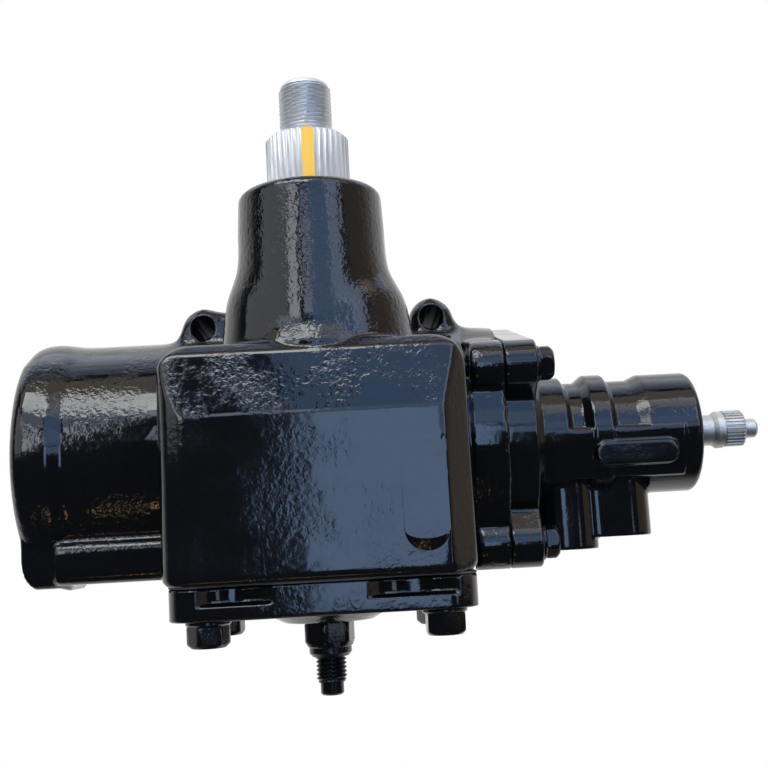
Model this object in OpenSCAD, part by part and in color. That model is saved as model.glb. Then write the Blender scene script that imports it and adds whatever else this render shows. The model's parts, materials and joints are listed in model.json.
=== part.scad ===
// Integral power steering gearbox: a worm and recirculating balls drive a rack piston,
// and the rack swings a toothed sector shaft.
// Frame: the origin is the middle of the four frame bolt holes on the mounting face.
// X runs along the worm towards the input shaft, Y into the frame rail, Z up along the sector shaft.

/* [Frame mount] */
// Spacing of the frame bolt holes along X
mount_dx = 101; // [94:1:108]
// Spacing of the frame bolt holes along Z
mount_dz = 110; // [106:1:116]
// Radius of the tapped frame bolt holes
mount_hole_r = 5.1; // [4:0.1:6]
// Radius of the ears round the frame bolt holes
ear_r = 11; // [9:0.5:13]
// Distance from the mounting face to the worm axis
mount_depth = 58; // [57:0.5:64]
// Length of the upper ears
upper_ear_len = 80; // [60:1:86]
// Length of the lower ears
lower_ear_len = 60; // [40:1:64]

/* [Gear train] */
// Distance between the worm axis and the sector shaft axis
centre_distance = 52; // [50:0.5:54]
// Pitch radius of the sector teeth
sector_pitch_r = 26; // [25:0.25:27]
// Worm turns for one turn of the sector shaft
gear_ratio = 14; // [12:0.5:15]
// Swing of the sector shaft to each side in degrees
sector_swing = 43; // [35:1:44]
// Width of the sector teeth
sector_face = 46; // [40:1:48]
// Radius of the recirculating balls
ball_r = 3.2; // [2.8:0.1:3.4]
// Radius of the circle that the balls run on
ball_circle_r = 13.2; // [12.8:0.1:13.6]
// Outer radius of the worm thread
worm_r = 12; // [11:0.1:12.4]

/* [Cylinder] */
// Radius of the piston bore
bore_r = 40; // [38:0.5:42]
// Wall of the cylinder
barrel_wall = 12; // [9:0.5:14]
// Height of the rim at the open end above the cylinder
rim_step = 1.8; // [0.5:0.1:4]
// Length of that rim
rim_len = 16; // [8:1:20]
// Length of the full round piston head
piston_head_len = 24; // [20:1:30]
// Length of the rack between the head and the sector axis
rack_left = 46; // [42:1:52]
// Length of the rack from the sector axis to its open end
rack_right = 32; // [30:1:36]
// Thickness of the end plug
plug_t = 17; // [14:0.5:22]
// Depth of the end plug's face in the cylinder's end
plug_recess = 9.5; // [6:0.5:12]

/* [Block] */
// Block's reach to the left of the sector axis
block_left = 61; // [59:1:66]
// Block's reach to the right of the sector axis
block_right = 58; // [57:0.5:60]
// Block's reach to the front of the sector axis
block_front = 42; // [40:0.5:48]
// Height of the block's top above the worm axis
block_top = 36.5; // [34:0.5:42]
// Depth of the block's underside below the worm axis
block_bottom = 54.5; // [53:0.5:60]
// Height at which the front face starts to lean back
lean_z = 8; // [0:1:14]
// How far the top of the front face leans back
lean_y = 7; // [3:0.5:8]
// Radius of the block's upright front edges
block_edge_r = 12; // [6:0.5:14]
// Radius of the block's top corners
block_corner_r = 13; // [8:0.5:16]

/* [Tower] */
// Height of the tower's top above the worm axis
tower_top = 103.4; // [98:0.2:112]
// Radius of the tower's top
tower_r = 30; // [29:0.5:33]
// Extra radius of the tower's foot
tower_flare = 2.5; // [1:0.5:5]
// Height of the tower's side flares above the block
side_flare_h = 36; // [26:1:44]
// Length of the needle bearing in the tower
bearing_len = 32; // [24:1:38]

/* [Sector shaft] */
// Radius of the bearing journals and of the spline
shaft_r = 17.5; // [16.5:0.1:18]
// Length of the spline above the tower
spline_len = 24.8; // [20:0.2:34]
// Number of serrations on the sector shaft
spline_count = 40; // [32:4:48]
// Depth of the serrations
spline_depth = 1.2; // [0.6:0.1:1.6]
// Radius of the threaded end
thread_r = 11.11; // [9:0.01:13]
// Length of the threaded end above the spline
thread_len = 24; // [16:0.5:32]
// Radius of the journal in the cover
cover_journal_r = 14; // [12:0.5:15]

/* [Side cover] */
// Thickness of the cover
cover_t = 12.4; // [11:0.2:16]
// Thickness of the cover's lower plate
cover_plate_t = 5.6; // [4:0.2:7]
// Thickness of the gasket
gasket_t = 0.8; // [0.4:0.1:1.6]
// Spacing of the cover bolts along X
cover_bolt_dx = 89; // [86:0.5:92]
// Spacing of the cover bolts along Y
cover_bolt_dy = 56; // [54:0.5:58]
// Radius of the cover bolts
cover_bolt_r = 4.7; // [4:0.1:5]
// Height of the hub under the cover
hub_h = 4.2; // [2:0.2:8]
// Radius of the lash adjuster's thread
adjuster_r = 6.15; // [5:0.05:7]
// Length of the adjuster below the cover's hub
adjuster_reach = 29; // [22:0.5:34]

/* [Valve housing] */
// Radius of the bolt circle of the valve housing
valve_bolt_circle_r = 54; // [53:0.5:56]
// Turn of that bolt circle in degrees
valve_bolt_turn = 58.5; // [50:0.5:66]
// Radius of the valve housing bolts
valve_bolt_r = 4; // [3:0.1:4.6]
// Radius of the bosses round those bolts
valve_boss_r = 10.5; // [8:0.5:11]
// Thickness of the valve housing's flange
valve_flange_t = 13.5; // [12:0.5:20]
// Length of the valve housing from its joint face
valve_len = 89; // [86:0.5:100]
// Radius of the valve housing's end barrel
valve_barrel_r = 27; // [25:0.5:30]
// Depth of the grooves between the ribs of that barrel
valve_groove = 2.2; // [0.5:0.1:3]
// Radius of the bore for the valve sleeve
sleeve_bore_r = 20; // [18.5:0.5:20.5]
// Radius of the tapped pressure port
pressure_port_r = 7.2; // [6:0.1:8]
// Radius of the tapped return port
return_port_r = 8.2; // [7:0.1:8.6]
// Depth of the tapped ports
port_depth = 13; // [10:0.5:15]

/* [Input shaft] */
// Radius of the journal in the valve housing
input_journal_r = 9.4; // [9:0.1:10.2]
// Radius of the neck outside the housing
input_neck_r = 7; // [6:0.1:8.5]
// Radius of the serrated end
input_spline_r = 8.7; // [8.2:0.1:9.4]
// Length of the serrated end
input_spline_len = 8.8; // [6:0.2:14]
// Number of serrations on the input shaft
input_spline_count = 32; // [24:4:40]
// Length of the bare neck outside the housing
input_neck_len = 16; // [10:0.5:24]
// Radius of the pilot at the very end
pilot_r = 4.35; // [3.5:0.05:5]
// Length of the pilot
pilot_len = 6.7; // [4:0.1:10]

/* [Clearances] */
// Radial gap of pieces that are pressed or seated
seat_gap = 0.02; // [0.01:0.01:0.05]
// Radial gap of shafts that turn and slide
run_gap = 0.08; // [0.05:0.01:0.1]
// Gap round rollers and needles
roller_gap = 0.15; // [0.1:0.01:0.2]
// Gap of the bolts in their holes
bolt_gap = 0.15; // [0.1:0.05:0.3]
// Gap at each flank of the sector teeth
flank_gap = 0.18; // [0.1:0.01:0.25]
// Gap between the balls and the worm's groove
groove_gap = 0.5; // [0.4:0.05:0.6]

/* [Hidden] */
$fn = 64;
// Reach of a cutting tool past the face that it cuts
past = 1;

// Axes in the part's frame
worm_y = -mount_depth;
sector_y = worm_y - centre_distance;

// Sector and rack teeth, nine to the full turn
tooth_angle = 40;
tooth_side = [-1, 0, 1];
module_mm = 2 * sector_pitch_r * tooth_angle / 360;
pressure_angle = 30;
addendum = 0.8 * module_mm;
dedendum = 0.93 * module_mm;
base_r = sector_pitch_r * cos(pressure_angle);
sector_tip_r = sector_pitch_r + addendum;
sector_root_r = sector_pitch_r - dedendum;
rack_pitch = PI * module_mm;
rack_pitch_h = centre_distance - sector_pitch_r;
rack_tip_h = rack_pitch_h + addendum;
rack_root_h = rack_pitch_h - dedendum;
stroke = sector_pitch_r * sector_swing * PI / 180;
lead = 2 * PI * sector_pitch_r / gear_ratio;

// Balls, worm groove and the bore of the ball nut
balls_per_turn = 11;
ball_count = 27;
ball_step = 360 / balls_per_turn;
ball_phase = 90;
groove_r = ball_r + groove_gap;
pocket_r = ball_r + roller_gap;
nut_bore_r = ball_circle_r + 1.2;
circuit_half = lead * (ball_count - 1) / 2 / balls_per_turn;
worm_half = circuit_half + stroke + 2.5;
worm_neck_r = worm_r - 1;

// Stations along X, from the open end of the cylinder to the tip of the input shaft
piston_r = bore_r - run_gap;
head_left = rack_left + piston_head_len;
nut_plug_t = 9;
ring_groove = [8 - head_left, 12 - head_left];
ring_groove_depth = 4;
piston_ring_in_r = piston_r - 2.2;
backer_gap = 0.4;
end_room = 12;
plug_in_x = -(head_left + stroke + end_room);
barrel_x = plug_in_x - plug_t - plug_recess;
plug_bore_r = bore_r + 3;
barrel_r = bore_r + barrel_wall;
rim_r = barrel_r + rim_step;
rim_round = 8;
partition_x = rack_right + stroke + 2;
partition_t = 4;
thrust_x = partition_x + partition_t;
race_t = 0.8;
roller_r = 1;
stack_t = 2 * race_t + 2 * roller_r;
worm_flange_t = 6;
worm_flange_x = thrust_x + stack_t + run_gap;
far_thrust_x = worm_flange_x + worm_flange_t + run_gap;
spigot_x = far_thrust_x + stack_t;
spigot_h = 6.6;
joint_x = spigot_x + spigot_h;
thrust_r = 18.5;
spigot_r = 24;
valve_end_x = joint_x + valve_len;

// Worm head, valve sleeve and input shaft
sleeve_x = joint_x + 3;
sleeve_r = sleeve_bore_r - 0.25;
spool_r = 11;
worm_head_r = 13;
worm_head_x = sleeve_x + 7;
spool_x = worm_head_x + 1;
bar_r = 4;
bar_x = worm_flange_x - 1;
needle_r = 1;
input_shell_in_r = input_journal_r + 2 * needle_r + 2 * roller_gap;
input_shell_r = input_shell_in_r + 1.2;
input_bearing_len = 14;
seal_bore_r = input_shell_r + 3;
input_seal_t = 6;
input_dust_t = 4;
ring_t = 1.4;
input_recess = 5.5;
input_ring_x = valve_end_x - input_recess - ring_t;
input_dust_x = input_ring_x - seat_gap - input_dust_t;
input_seal_x = input_dust_x - seat_gap - input_seal_t;
input_bearing_x = input_seal_x - 0.5 - input_bearing_len;
sleeve_stop_x = input_bearing_x - 5;
sleeve_end_x = sleeve_stop_x - 2;
sleeve_len = sleeve_end_x - sleeve_x;
sleeve_step = 0.23 * sleeve_len;
sleeve_ring_x = sleeve_x + 9;
sleeve_ring_w = 3;
sleeve_ring_t = 2;
journal_end_x = input_ring_x + ring_t + 1;
bar_end_x = input_seal_x + input_seal_t;
shoulder_len = 3.5;
input_spline_x = valve_end_x + input_neck_len;
pilot_x = input_spline_x + input_spline_len;
input_tip_x = pilot_x + pilot_len;

// Stations along Z on the sector axis
cavity_r = sector_tip_r + 2.4;
cavity_top = sector_face / 2 + 3;
shaft_foot = 44;
needle_big_r = 1.9;
shell_in_r = shaft_r + 2 * needle_big_r + 2 * roller_gap;
shell_r = shell_in_r + 1.2;
bearing_z = cavity_top + 6;
seal_in_r = shell_r + 1.5;
oil_seal_t = 8;
washer_t = 1.6;
dust_seal_t = 7;
tower_recess = 12.7;
sector_ring_z = tower_top - tower_recess;
dust_z = sector_ring_z - seat_gap - dust_seal_t;
washer_z = dust_z - seat_gap - washer_t;
seal_z = washer_z - seat_gap - oil_seal_t;
spline_z = tower_top - 2.4;
spline_step = 0.05;
spline_top = tower_top + spline_len;
thread_top = spline_top + thread_len;
cover_top = -block_bottom - gasket_t;
cover_bottom = cover_top - cover_t;
plate_top = cover_bottom + cover_plate_t;
hub_bottom = cover_bottom - hub_h;
bush_depth = 9.5;
bush_bottom = cover_top - bush_depth;
bush_wall = 2;
journal_bottom = bush_bottom + 0.3;
hook_r = adjuster_r + 1.6;
hook_bore_r = hook_r + 1;
hook_top = cover_top + 3;
hook_t = 3;
retainer_t = 3;
adjuster_bottom = hub_bottom - adjuster_reach;
nut_flats = 18;
nut_turn = 17;
nut_h = 9;
nut_collar_r = 8.5;
nut_collar_h = 5;
tip_r = adjuster_r - 1.5;
tip_len = 4.7;

// Cover and valve housing outlines
cover_boss_r = 11.5;
cover_left = block_left - 2;
cover_right = block_right - 0.5;
cover_half_y = cover_bolt_dy / 2 + 11;
block_back = 46;
cover_thread_depth = 12;
cover_bolt_flats = 14.3;
cover_bolt_head = 10;
valve_thread_depth = 12;
valve_bolt_flats = 12.7;
valve_bolt_head = 7.5;
bolt_collar_h = 2;
valve_disc_r = 45;

// Ports under the valve housing
port_boss_1 = [joint_x + 15.5, joint_x + 43];
port_boss_2 = [joint_x + 43, joint_x + 67.5];
port_bottom_1 = 50.4;
port_bottom_2 = 45.6;
port_x_1 = (port_boss_1[0] + port_boss_1[1]) / 2;
port_x_2 = (port_boss_2[0] + port_boss_2[1]) / 2;
port_depth_y_1 = 16;
port_depth_y_2 = 14;
port_round = 12;
seat_r = 4.6;
seat_hole_r = 2.4;
seat_len = 5;
seat_room = 3.2;

// Ball return guide on the back of the piston
guide_floor = 26;
guide_pocket = [44, 15];
guide_leg_x = circuit_half + 0.5;
guide_leg_r = ball_r + 1;
guide_bridge_h = 8.4;
guide_screw_r = 2;
guide_screw_z = 9.5;
guide_screw_depth = 5;
clamp_w = 10;
clamp_t = 1.5;

castings = "#1c1f24";
steel = "#b9bcc0";
dark_steel = "#6f7378";
rubber = "#222222";
brass = "#b08d4a";

// Places children on the sector shaft's axis
module on_sector() {
  translate([0, sector_y, 0]) children();
}

// Places children on the worm's axis: their Z runs along X, their X points down
module on_worm() {
  translate([0, worm_y, 0]) rotate([0, 90, 0]) children();
}

// Solid rod between two stations
module rod(r, from, to) {
  translate([0, 0, from]) cylinder(r = r, h = to - from);
}

// Ring between two stations
module ring(r_out, r_in, from, to) {
  difference() {
    rod(r_out, from, to);
    rod(r_in, from - past, to + past);
  }
}

// Hexagon prism between two stations
module hexagon(across_flats, from, to) {
  translate([0, 0, from]) cylinder(r = across_flats / sqrt(3), h = to - from, $fn = 6);
}

// Rectangle with its four corners rounded
module rounded(left, right, low, high, r) {
  translate([left + r, low]) square([right - left - 2 * r, high - low]);
  translate([left, low + r]) square([right - left, high - low - 2 * r]);
  for (x = [left + r, right - r], y = [low + r, high - r]) translate([x, y]) circle(r = r);
}

// Lip seal: a case with a thinner lip against the shaft
module lip_seal(r_out, r_shaft, from, to) {
  t = to - from;
  rotate_extrude() polygon([
    [r_shaft + run_gap, from], [r_out, from], [r_out, to], [r_out - 1.2, to],
    [r_out - 1.2, from + 0.4 * t], [r_shaft + 2, from + 0.4 * t],
    [r_shaft + 1.4, to - 0.15 * t], [r_shaft + run_gap, to - 0.15 * t]
  ]);
}

// Snap ring with a gap between its ends
module snap_ring(r_out, r_in, from, to) {
  gap = 0.5 * r_in;
  difference() {
    ring(r_out, r_in, from, to);
    translate([0, -gap / 2, from - past]) cube([r_out + past, gap, to - from + 2 * past]);
  }
}

// Places children at the four bolts of the valve housing
module at_valve_bolts() {
  for (k = [0:3]) rotate(valve_bolt_turn + 90 * k) translate([valve_bolt_circle_r, 0]) children();
}

// Places children at the four bolts of the side cover
module at_cover_bolts() {
  for (x = [-1, 1], y = [-1, 1])
    translate([x * cover_bolt_dx / 2, y * cover_bolt_dy / 2, 0]) children();
}

// Outline of the joint between the two housings: a disc with four bolt bosses, filled flush between
// the two upper ones
module joint_outline(disc_r) {
  bolt_reach = valve_bolt_circle_r / sqrt(2);
  circle(r = disc_r);
  rotate(valve_bolt_turn + 135) translate([0, -bolt_reach])
    square([bolt_reach + valve_boss_r, 2 * bolt_reach]);
  for (k = [0:3]) rotate(valve_bolt_turn + 90 * k) {
    translate([valve_bolt_circle_r, 0]) circle(r = valve_boss_r);
    translate([0, -valve_boss_r]) square([valve_bolt_circle_r, 2 * valve_boss_r]);
  }
}

// Block round the sector: plan, side profile and front outline meet
module block() {
  on_sector() intersection() {
    translate([0, 0, -block_bottom]) linear_extrude(block_bottom + block_top) block_plan();
    translate([-block_left, 0, 0]) rotate([90, 0, 90]) linear_extrude(block_left + block_right)
      polygon([
        [-block_front, -block_bottom], [-block_front, lean_z],
        [lean_y - block_front - 1, block_top - 4], [lean_y - block_front + 3, block_top],
        [block_back, block_top], [block_back, -block_bottom]
      ]);
    translate([0, block_back, 0]) rotate([90, 0, 0]) linear_extrude(block_front + block_back)
      block_outline();
  }
}

// Plan of the block, with its right front edge cut back to a flat
module block_plan() {
  edge_cut = 10;
  difference() {
    rounded(-block_left, block_right, -block_front, block_back + block_edge_r, block_edge_r);
    translate([block_right, -block_front]) rotate(45) square(sqrt(2) * edge_cut, center = true);
  }
}

// Front outline of the block, with larger rounds at the top than below
module block_outline() {
  foot_r = 4;
  rounded(-block_left, block_right, -block_bottom, 0, foot_r);
  rounded(-block_left, block_right, -block_bottom + 2 * foot_r, block_top, block_corner_r);
}

// Tower round the sector shaft, with a fillet round its foot and a flare to each side
module tower() {
  top_round = 3;
  fillet = 3;
  fillet_h = 8;
  foot_r = tower_r + tower_flare;
  on_sector() {
    rotate_extrude() union() {
      polygon([
        [0, block_top - fillet_h], [foot_r, block_top - fillet_h], [foot_r + fillet, block_top - 1],
        [foot_r, block_top + fillet_h], [tower_r, tower_top - top_round],
        [tower_r - top_round, tower_top - top_round],
        [tower_r - top_round, tower_top], [0, tower_top]
      ]);
      translate([tower_r - top_round, tower_top - top_round]) circle(r = top_round);
    }
    side_flare(-1, [foot_r + 7, foot_r + 4.3], 1.08 * side_flare_h);
    side_flare(1, [foot_r + 9, foot_r + 5.8], side_flare_h);
  }
}

// Cone that leans out of the tower to one side, with its reach at the foot and half way up
module side_flare(side, reach, h) {
  off = 0.3 * tower_r;
  translate([side * off, 0, 0]) rotate_extrude() polygon([
    [0, block_top - 2], [reach[0] - off, block_top - 2], [reach[1] - off, block_top + 0.55 * h],
    [tower_r - off, block_top + h], [0, block_top + h]
  ]);
}

// Cylinder casting with a rounded rim at its open end
module barrel() {
  on_worm() rotate_extrude() union() {
    polygon([
      [0, barrel_x], [rim_r - rim_round, barrel_x], [rim_r - rim_round, barrel_x + rim_round],
      [rim_r, barrel_x + rim_round], [rim_r, barrel_x + rim_len],
      [barrel_r, barrel_x + rim_len + 6], [barrel_r, joint_x], [0, joint_x]
    ]);
    translate([rim_r - rim_round, barrel_x + rim_round]) circle(r = rim_round);
  }
}

// Flat-fronted ledge along the lower front of the cylinder
module barrel_ledge() {
  ledge_z = -35;
  ledge_front = 0.83 * barrel_r;
  translate([barrel_x + rim_len, worm_y, 0]) rotate([90, 0, 90])
    linear_extrude(-block_left - barrel_x - rim_len + 10)
      rounded(-ledge_front, ledge_front / 2, -barrel_r - 1, ledge_z, 5);
}

// Squarer lug at the lower front of the rim
module rim_lug() {
  lug_len = rim_len + 3;
  lug_front = 0.73 * rim_r;
  lug_bottom = -barrel_r - 3.3;
  lug_r = 9;
  translate([barrel_x + 1.5, worm_y, 0]) rotate([90, 0, 90]) linear_extrude(lug_len)
    rounded(-lug_front, 0, lug_bottom, -0.4 * barrel_r, lug_r);
}

// Ears for the frame bolts, each on a web that runs into the cylinder; the upper left one has an arm
// to the tower, the upper right one a shoulder towards the joint flange
module frame_ears() {
  arm_low = mount_dz / 2 - ear_r - 3;
  shoulder_r = 0.73 * ear_r;
  for (x = [-1, 1]) {
    frame_ear(x * mount_dx / 2, mount_dz / 2, upper_ear_len);
    frame_ear(x * mount_dx / 2, -mount_dz / 2, lower_ear_len);
  }
  translate([0, -upper_ear_len / 2, 0]) rotate([90, 0, 0]) linear_extrude(upper_ear_len / 2 - 1)
    rounded(-mount_dx / 2 - ear_r, -tower_r + 2, arm_low, arm_low + 2 * ear_r, ear_r - 0.5);
  translate([mount_dx / 2 + 5.5, -4, mount_dz / 2 - 7.5]) rotate([90, 0, 0])
    cylinder(r = shoulder_r, h = upper_ear_len - 8);
}

module frame_ear(x, z, len) {
  web_w = 1.5 * ear_r;
  web_len = min(len, mount_depth) - 2;
  ear_draft = 0.01 * len;
  translate([x, 0, z]) rotate([90, 0, 0]) cylinder(r1 = ear_r, r2 = ear_r - ear_draft, h = len);
  translate([x - web_w / 2, -web_len, min(z, 0)]) cube([web_w, web_len - 1, abs(z)]);
}

// Tapped hole right through a frame ear
module frame_hole(x, z, len) {
  translate([x, past, z]) rotate([90, 0, 0]) cylinder(r = mount_hole_r, h = len + 2 * past);
}

// Finger on the front face beside the right edge, flush at its top and proud at its rounded foot
module front_finger() {
  finger_r = 8.5;
  finger_out = 2.2;
  finger_x = block_right - block_edge_r - 7;
  finger_top = -2;
  finger_nose = 16.5 - block_bottom;
  finger_foot = 8 - block_bottom;
  root_y = 4 - block_front;
  on_sector() intersection() {
    translate([finger_x, root_y, 0]) rotate([90, 0, 0]) linear_extrude(4 + finger_out) {
      translate([0, finger_foot + finger_r]) circle(r = finger_r);
      translate([-finger_r, finger_foot + finger_r])
        square([2 * finger_r, finger_top - finger_foot - finger_r]);
    }
    translate([finger_x - finger_r - past, 0, 0]) rotate([90, 0, 90])
      linear_extrude(2 * (finger_r + past)) polygon([
        [root_y, finger_foot], [-block_front, finger_foot], [-block_front - finger_out, finger_nose],
        [-block_front, finger_top], [root_y, finger_top]
      ]);
  }
}

// Main casting: cylinder, block, tower, joint flange and frame ears, bored and tapped
module main_housing() {
  flange_t = 15;
  color(castings) difference() {
    union() {
      barrel();
      barrel_ledge();
      rim_lug();
      block();
      tower();
      frame_ears();
      front_finger();
      on_worm() translate([0, 0, joint_x - flange_t]) linear_extrude(flange_t)
        joint_outline(barrel_r + 0.6);
    }
    on_worm() {
      rod(bore_r, barrel_x - past, partition_x);
      rod(plug_bore_r, barrel_x - past, plug_in_x);
      ring(plug_bore_r + 2, plug_bore_r - past, plug_in_x - plug_t - 2, plug_in_x - plug_t);
      rod(worm_head_r + 0.5, partition_x - past, thrust_x + past);
      rod(spigot_r, thrust_x, joint_x + past);
      at_valve_bolts() rod(valve_bolt_r + bolt_gap, joint_x - flange_t - past, joint_x + past);
    }
    on_sector() {
      rod(cavity_r, -block_bottom - past, cavity_top);
      rod(shell_r, cavity_top - past, tower_top + past);
      rod(seal_in_r, seal_z, tower_top + past);
      ring(seal_in_r + 1.5, seal_in_r - past, sector_ring_z, sector_ring_z + ring_t + 2 * seat_gap);
      at_cover_bolts() rod(cover_bolt_r + bolt_gap, -block_bottom - past,
        cover_thread_depth - block_bottom);
    }
    for (x = [-1, 1]) {
      frame_hole(x * mount_dx / 2, mount_dz / 2, upper_ear_len);
      frame_hole(x * mount_dx / 2, -mount_dz / 2, lower_ear_len);
    }
  }
}

// Plug that closes the cylinder, dished outside and grooved for its seal
module end_plug() {
  color(dark_steel) on_worm() difference() {
    rod(plug_bore_r - seat_gap, plug_in_x - plug_t, plug_in_x);
    rod(0.7 * plug_bore_r, plug_in_x - plug_t - past, plug_in_x - 0.6 * plug_t);
    rod(0.8 * bore_r, plug_in_x - 0.3 * plug_t, plug_in_x + past);
    ring(plug_bore_r + past, plug_bore_r - 3, plug_in_x - 8, plug_in_x - 4);
  }
}

module end_plug_seal() {
  color(rubber) on_worm()
    ring(plug_bore_r - seat_gap, plug_bore_r - 3 + seat_gap, plug_in_x - 8 + seat_gap,
      plug_in_x - 4 - seat_gap);
}

module end_plug_snap_ring() {
  color(steel) on_worm()
    snap_ring(plug_bore_r + 2 - seat_gap, plug_bore_r - 3, plug_in_x - plug_t - 2 + seat_gap,
      plug_in_x - plug_t - seat_gap);
}

// Outline of the upper part of the cover, hollowed on both long sides
module cover_outline() {
  left_half_w = 14;
  right_half_w = 17.5;
  difference() {
    cover_plan();
    for (side = [0, 1]) mirror([0, side]) {
      cover_pocket(left_half_w + 12 - cover_left, left_half_w);
      cover_pocket(cover_right - 6.5 - right_half_w, right_half_w);
    }
  }
}

module cover_plan() {
  rounded(-cover_left, cover_right, -cover_half_y, cover_half_y, cover_boss_r);
}

// Round hollow in a long side of the cover
module cover_pocket(x, half_w) {
  depth = 6;
  r = (half_w * half_w + depth * depth) / (2 * depth);
  translate([x, cover_half_y + r - depth]) circle(r = r);
}

// Side cover: a plate, hollowed above it beside the bolts, with a hub for the adjuster
module sector_cover() {
  hub_r = 26;
  color(castings) on_sector() difference() {
    union() {
      translate([0, 0, cover_bottom]) linear_extrude(cover_plate_t) cover_plan();
      translate([0, 0, plate_top]) linear_extrude(cover_top - plate_top) cover_outline();
      rotate_extrude() polygon([
        [0, hub_bottom], [nut_flats, hub_bottom], [hub_r, cover_bottom],
        [hub_r, plate_top], [0, plate_top]
      ]);
    }
    rod(cover_journal_r + run_gap + bush_wall, bush_bottom, cover_top + past);
    rod(adjuster_r + run_gap, hub_bottom - past, cover_top);
    at_cover_bolts() rod(cover_bolt_r + bolt_gap, cover_bottom - past, cover_top + past);
  }
}

module cover_gasket() {
  color(rubber) on_sector() difference() {
    translate([0, 0, cover_top]) linear_extrude(gasket_t) cover_outline();
    rod(cavity_r, cover_top - past, cover_top + gasket_t + past);
    at_cover_bolts() rod(cover_bolt_r + bolt_gap, cover_top - past, cover_top + gasket_t + past);
  }
}

// Flanged hexagon bolt with its head's underside at a station, shank towards higher stations
module flange_bolt(shank_r, shank_len, across_flats, head_h, seat) {
  rod(shank_r, seat, seat + shank_len);
  rod(across_flats * 0.6, seat - bolt_collar_h, seat);
  hexagon(across_flats, seat - head_h, seat - bolt_collar_h);
}

module cover_bolts() {
  color(castings) on_sector() at_cover_bolts()
    flange_bolt(cover_bolt_r, cover_t + gasket_t + cover_thread_depth - 1.5, cover_bolt_flats,
      cover_bolt_head, cover_bottom);
}

module cover_bushing() {
  color(brass) on_sector()
    ring(cover_journal_r + run_gap + bush_wall - seat_gap, cover_journal_r + run_gap,
      bush_bottom, cover_top - 0.5);
}

// Locknut with a smaller round collar below its flats
module adjuster_locknut() {
  color(castings) on_sector() difference() {
    union() {
      rotate(nut_turn) hexagon(nut_flats, hub_bottom - nut_h, hub_bottom);
      rod(nut_collar_r, hub_bottom - nut_h - nut_collar_h, hub_bottom - nut_h);
    }
    rod(adjuster_r + run_gap, hub_bottom - nut_h - nut_collar_h - past, hub_bottom + past);
  }
}

// Lash adjuster: a threaded stem whose hooked head sits in the sector shaft's end
module adjuster_screw() {
  color(steel) on_sector() {
    rod(hook_r, hook_top - hook_t, hook_top);
    rod(adjuster_r, adjuster_bottom + tip_len, hook_top - hook_t);
    rod(tip_r, adjuster_bottom, adjuster_bottom + tip_len);
  }
}

// Ring pressed into the sector shaft's end under the adjuster's head
module adjuster_retainer() {
  color(dark_steel) on_sector()
    ring(hook_bore_r - seat_gap, adjuster_r + roller_gap, hook_top - hook_t - retainer_t - roller_gap,
      hook_top - hook_t - roller_gap);
}

// Half angle of a sector tooth at a radius, from the involute of its base circle
function roll(r) = acos(min(1, base_r / r));
function involute(a) = tan(a) - a * PI / 180;
function tooth_half(r) = tooth_angle / 4 - flank_gap / sector_pitch_r * 180 / PI
  + (involute(pressure_angle) - involute(roll(max(r, base_r)))) * 180 / PI;

// One sector tooth pointing along +Y, drawn from inside the root to the tip
module sector_tooth() {
  steps = 6;
  inner_r = sector_root_r - 2;
  radii = concat([inner_r], [for (i = [0:steps]) base_r + (sector_tip_r - base_r) * i / steps]);
  right = [for (r = radii) r * [sin(tooth_half(r)), cos(tooth_half(r))]];
  left = [for (i = [len(radii) - 1:-1:0]) [-right[i][0], right[i][1]]];
  polygon(concat(right, left));
}

// Serrated outline: trapezoid teeth with a blank of two left out where a master tooth stands
module serration(count, r_tip, depth, blank) {
  pitch = 360 / count;
  r_root = r_tip - depth;
  polygon([for (i = [0:count - 1]) let (a = (i + 0.5) * pitch, full = abs(a - 180) > 180 - blank)
    each [
      r_tip * [cos(a - 0.32 * pitch), sin(a - 0.32 * pitch)],
      (full ? r_tip : r_root) * [cos(a - 0.1 * pitch), sin(a - 0.1 * pitch)],
      (full ? r_tip : r_root) * [cos(a + 0.1 * pitch), sin(a + 0.1 * pitch)],
      r_tip * [cos(a + 0.32 * pitch), sin(a + 0.32 * pitch)]
    ]]);
}

// Sector shaft: three teeth on a hub, journals, a serrated end with a master tooth and a plain thread core
module sector_shaft() {
  chamfer = 1.6;
  relief_r = thread_r - 1.2;
  master_turn = -87.4;
  color(steel) on_sector() difference() {
    union() {
      translate([0, 0, -sector_face / 2]) linear_extrude(sector_face) union() {
        circle(r = sector_root_r);
        for (side = tooth_side) rotate(side * tooth_angle) sector_tooth();
      }
      rod(shaft_r, -shaft_foot, spline_z);
      rod(cover_journal_r, journal_bottom, -shaft_foot);
      intersection() {
        translate([0, 0, spline_z - past]) linear_extrude(spline_top - spline_z + past)
          rotate(master_turn)
            serration(spline_count, shaft_r - spline_step, spline_depth, 1.5 * 360 / spline_count);
        rotate_extrude() polygon([
          [0, spline_z - past], [shaft_r + 1, spline_z - past],
          [shaft_r + 1, spline_top - chamfer - 1], [shaft_r - chamfer, spline_top], [0, spline_top]
        ]);
      }
      rotate_extrude() polygon([
        [0, spline_top - past], [thread_r + 2, spline_top - past], [thread_r + 2, spline_top],
        [relief_r, spline_top + 2.4],
        [thread_r, spline_top + 3.6], [thread_r, thread_top - chamfer],
        [thread_r - chamfer, thread_top], [0, thread_top]
      ]);
    }
    rod(hook_bore_r, journal_bottom - past, hook_top + roller_gap);
  }
}

module sector_bearing_shell() {
  color(dark_steel) on_sector()
    ring(shell_r - seat_gap, shell_in_r, bearing_z, bearing_z + bearing_len);
}

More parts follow.
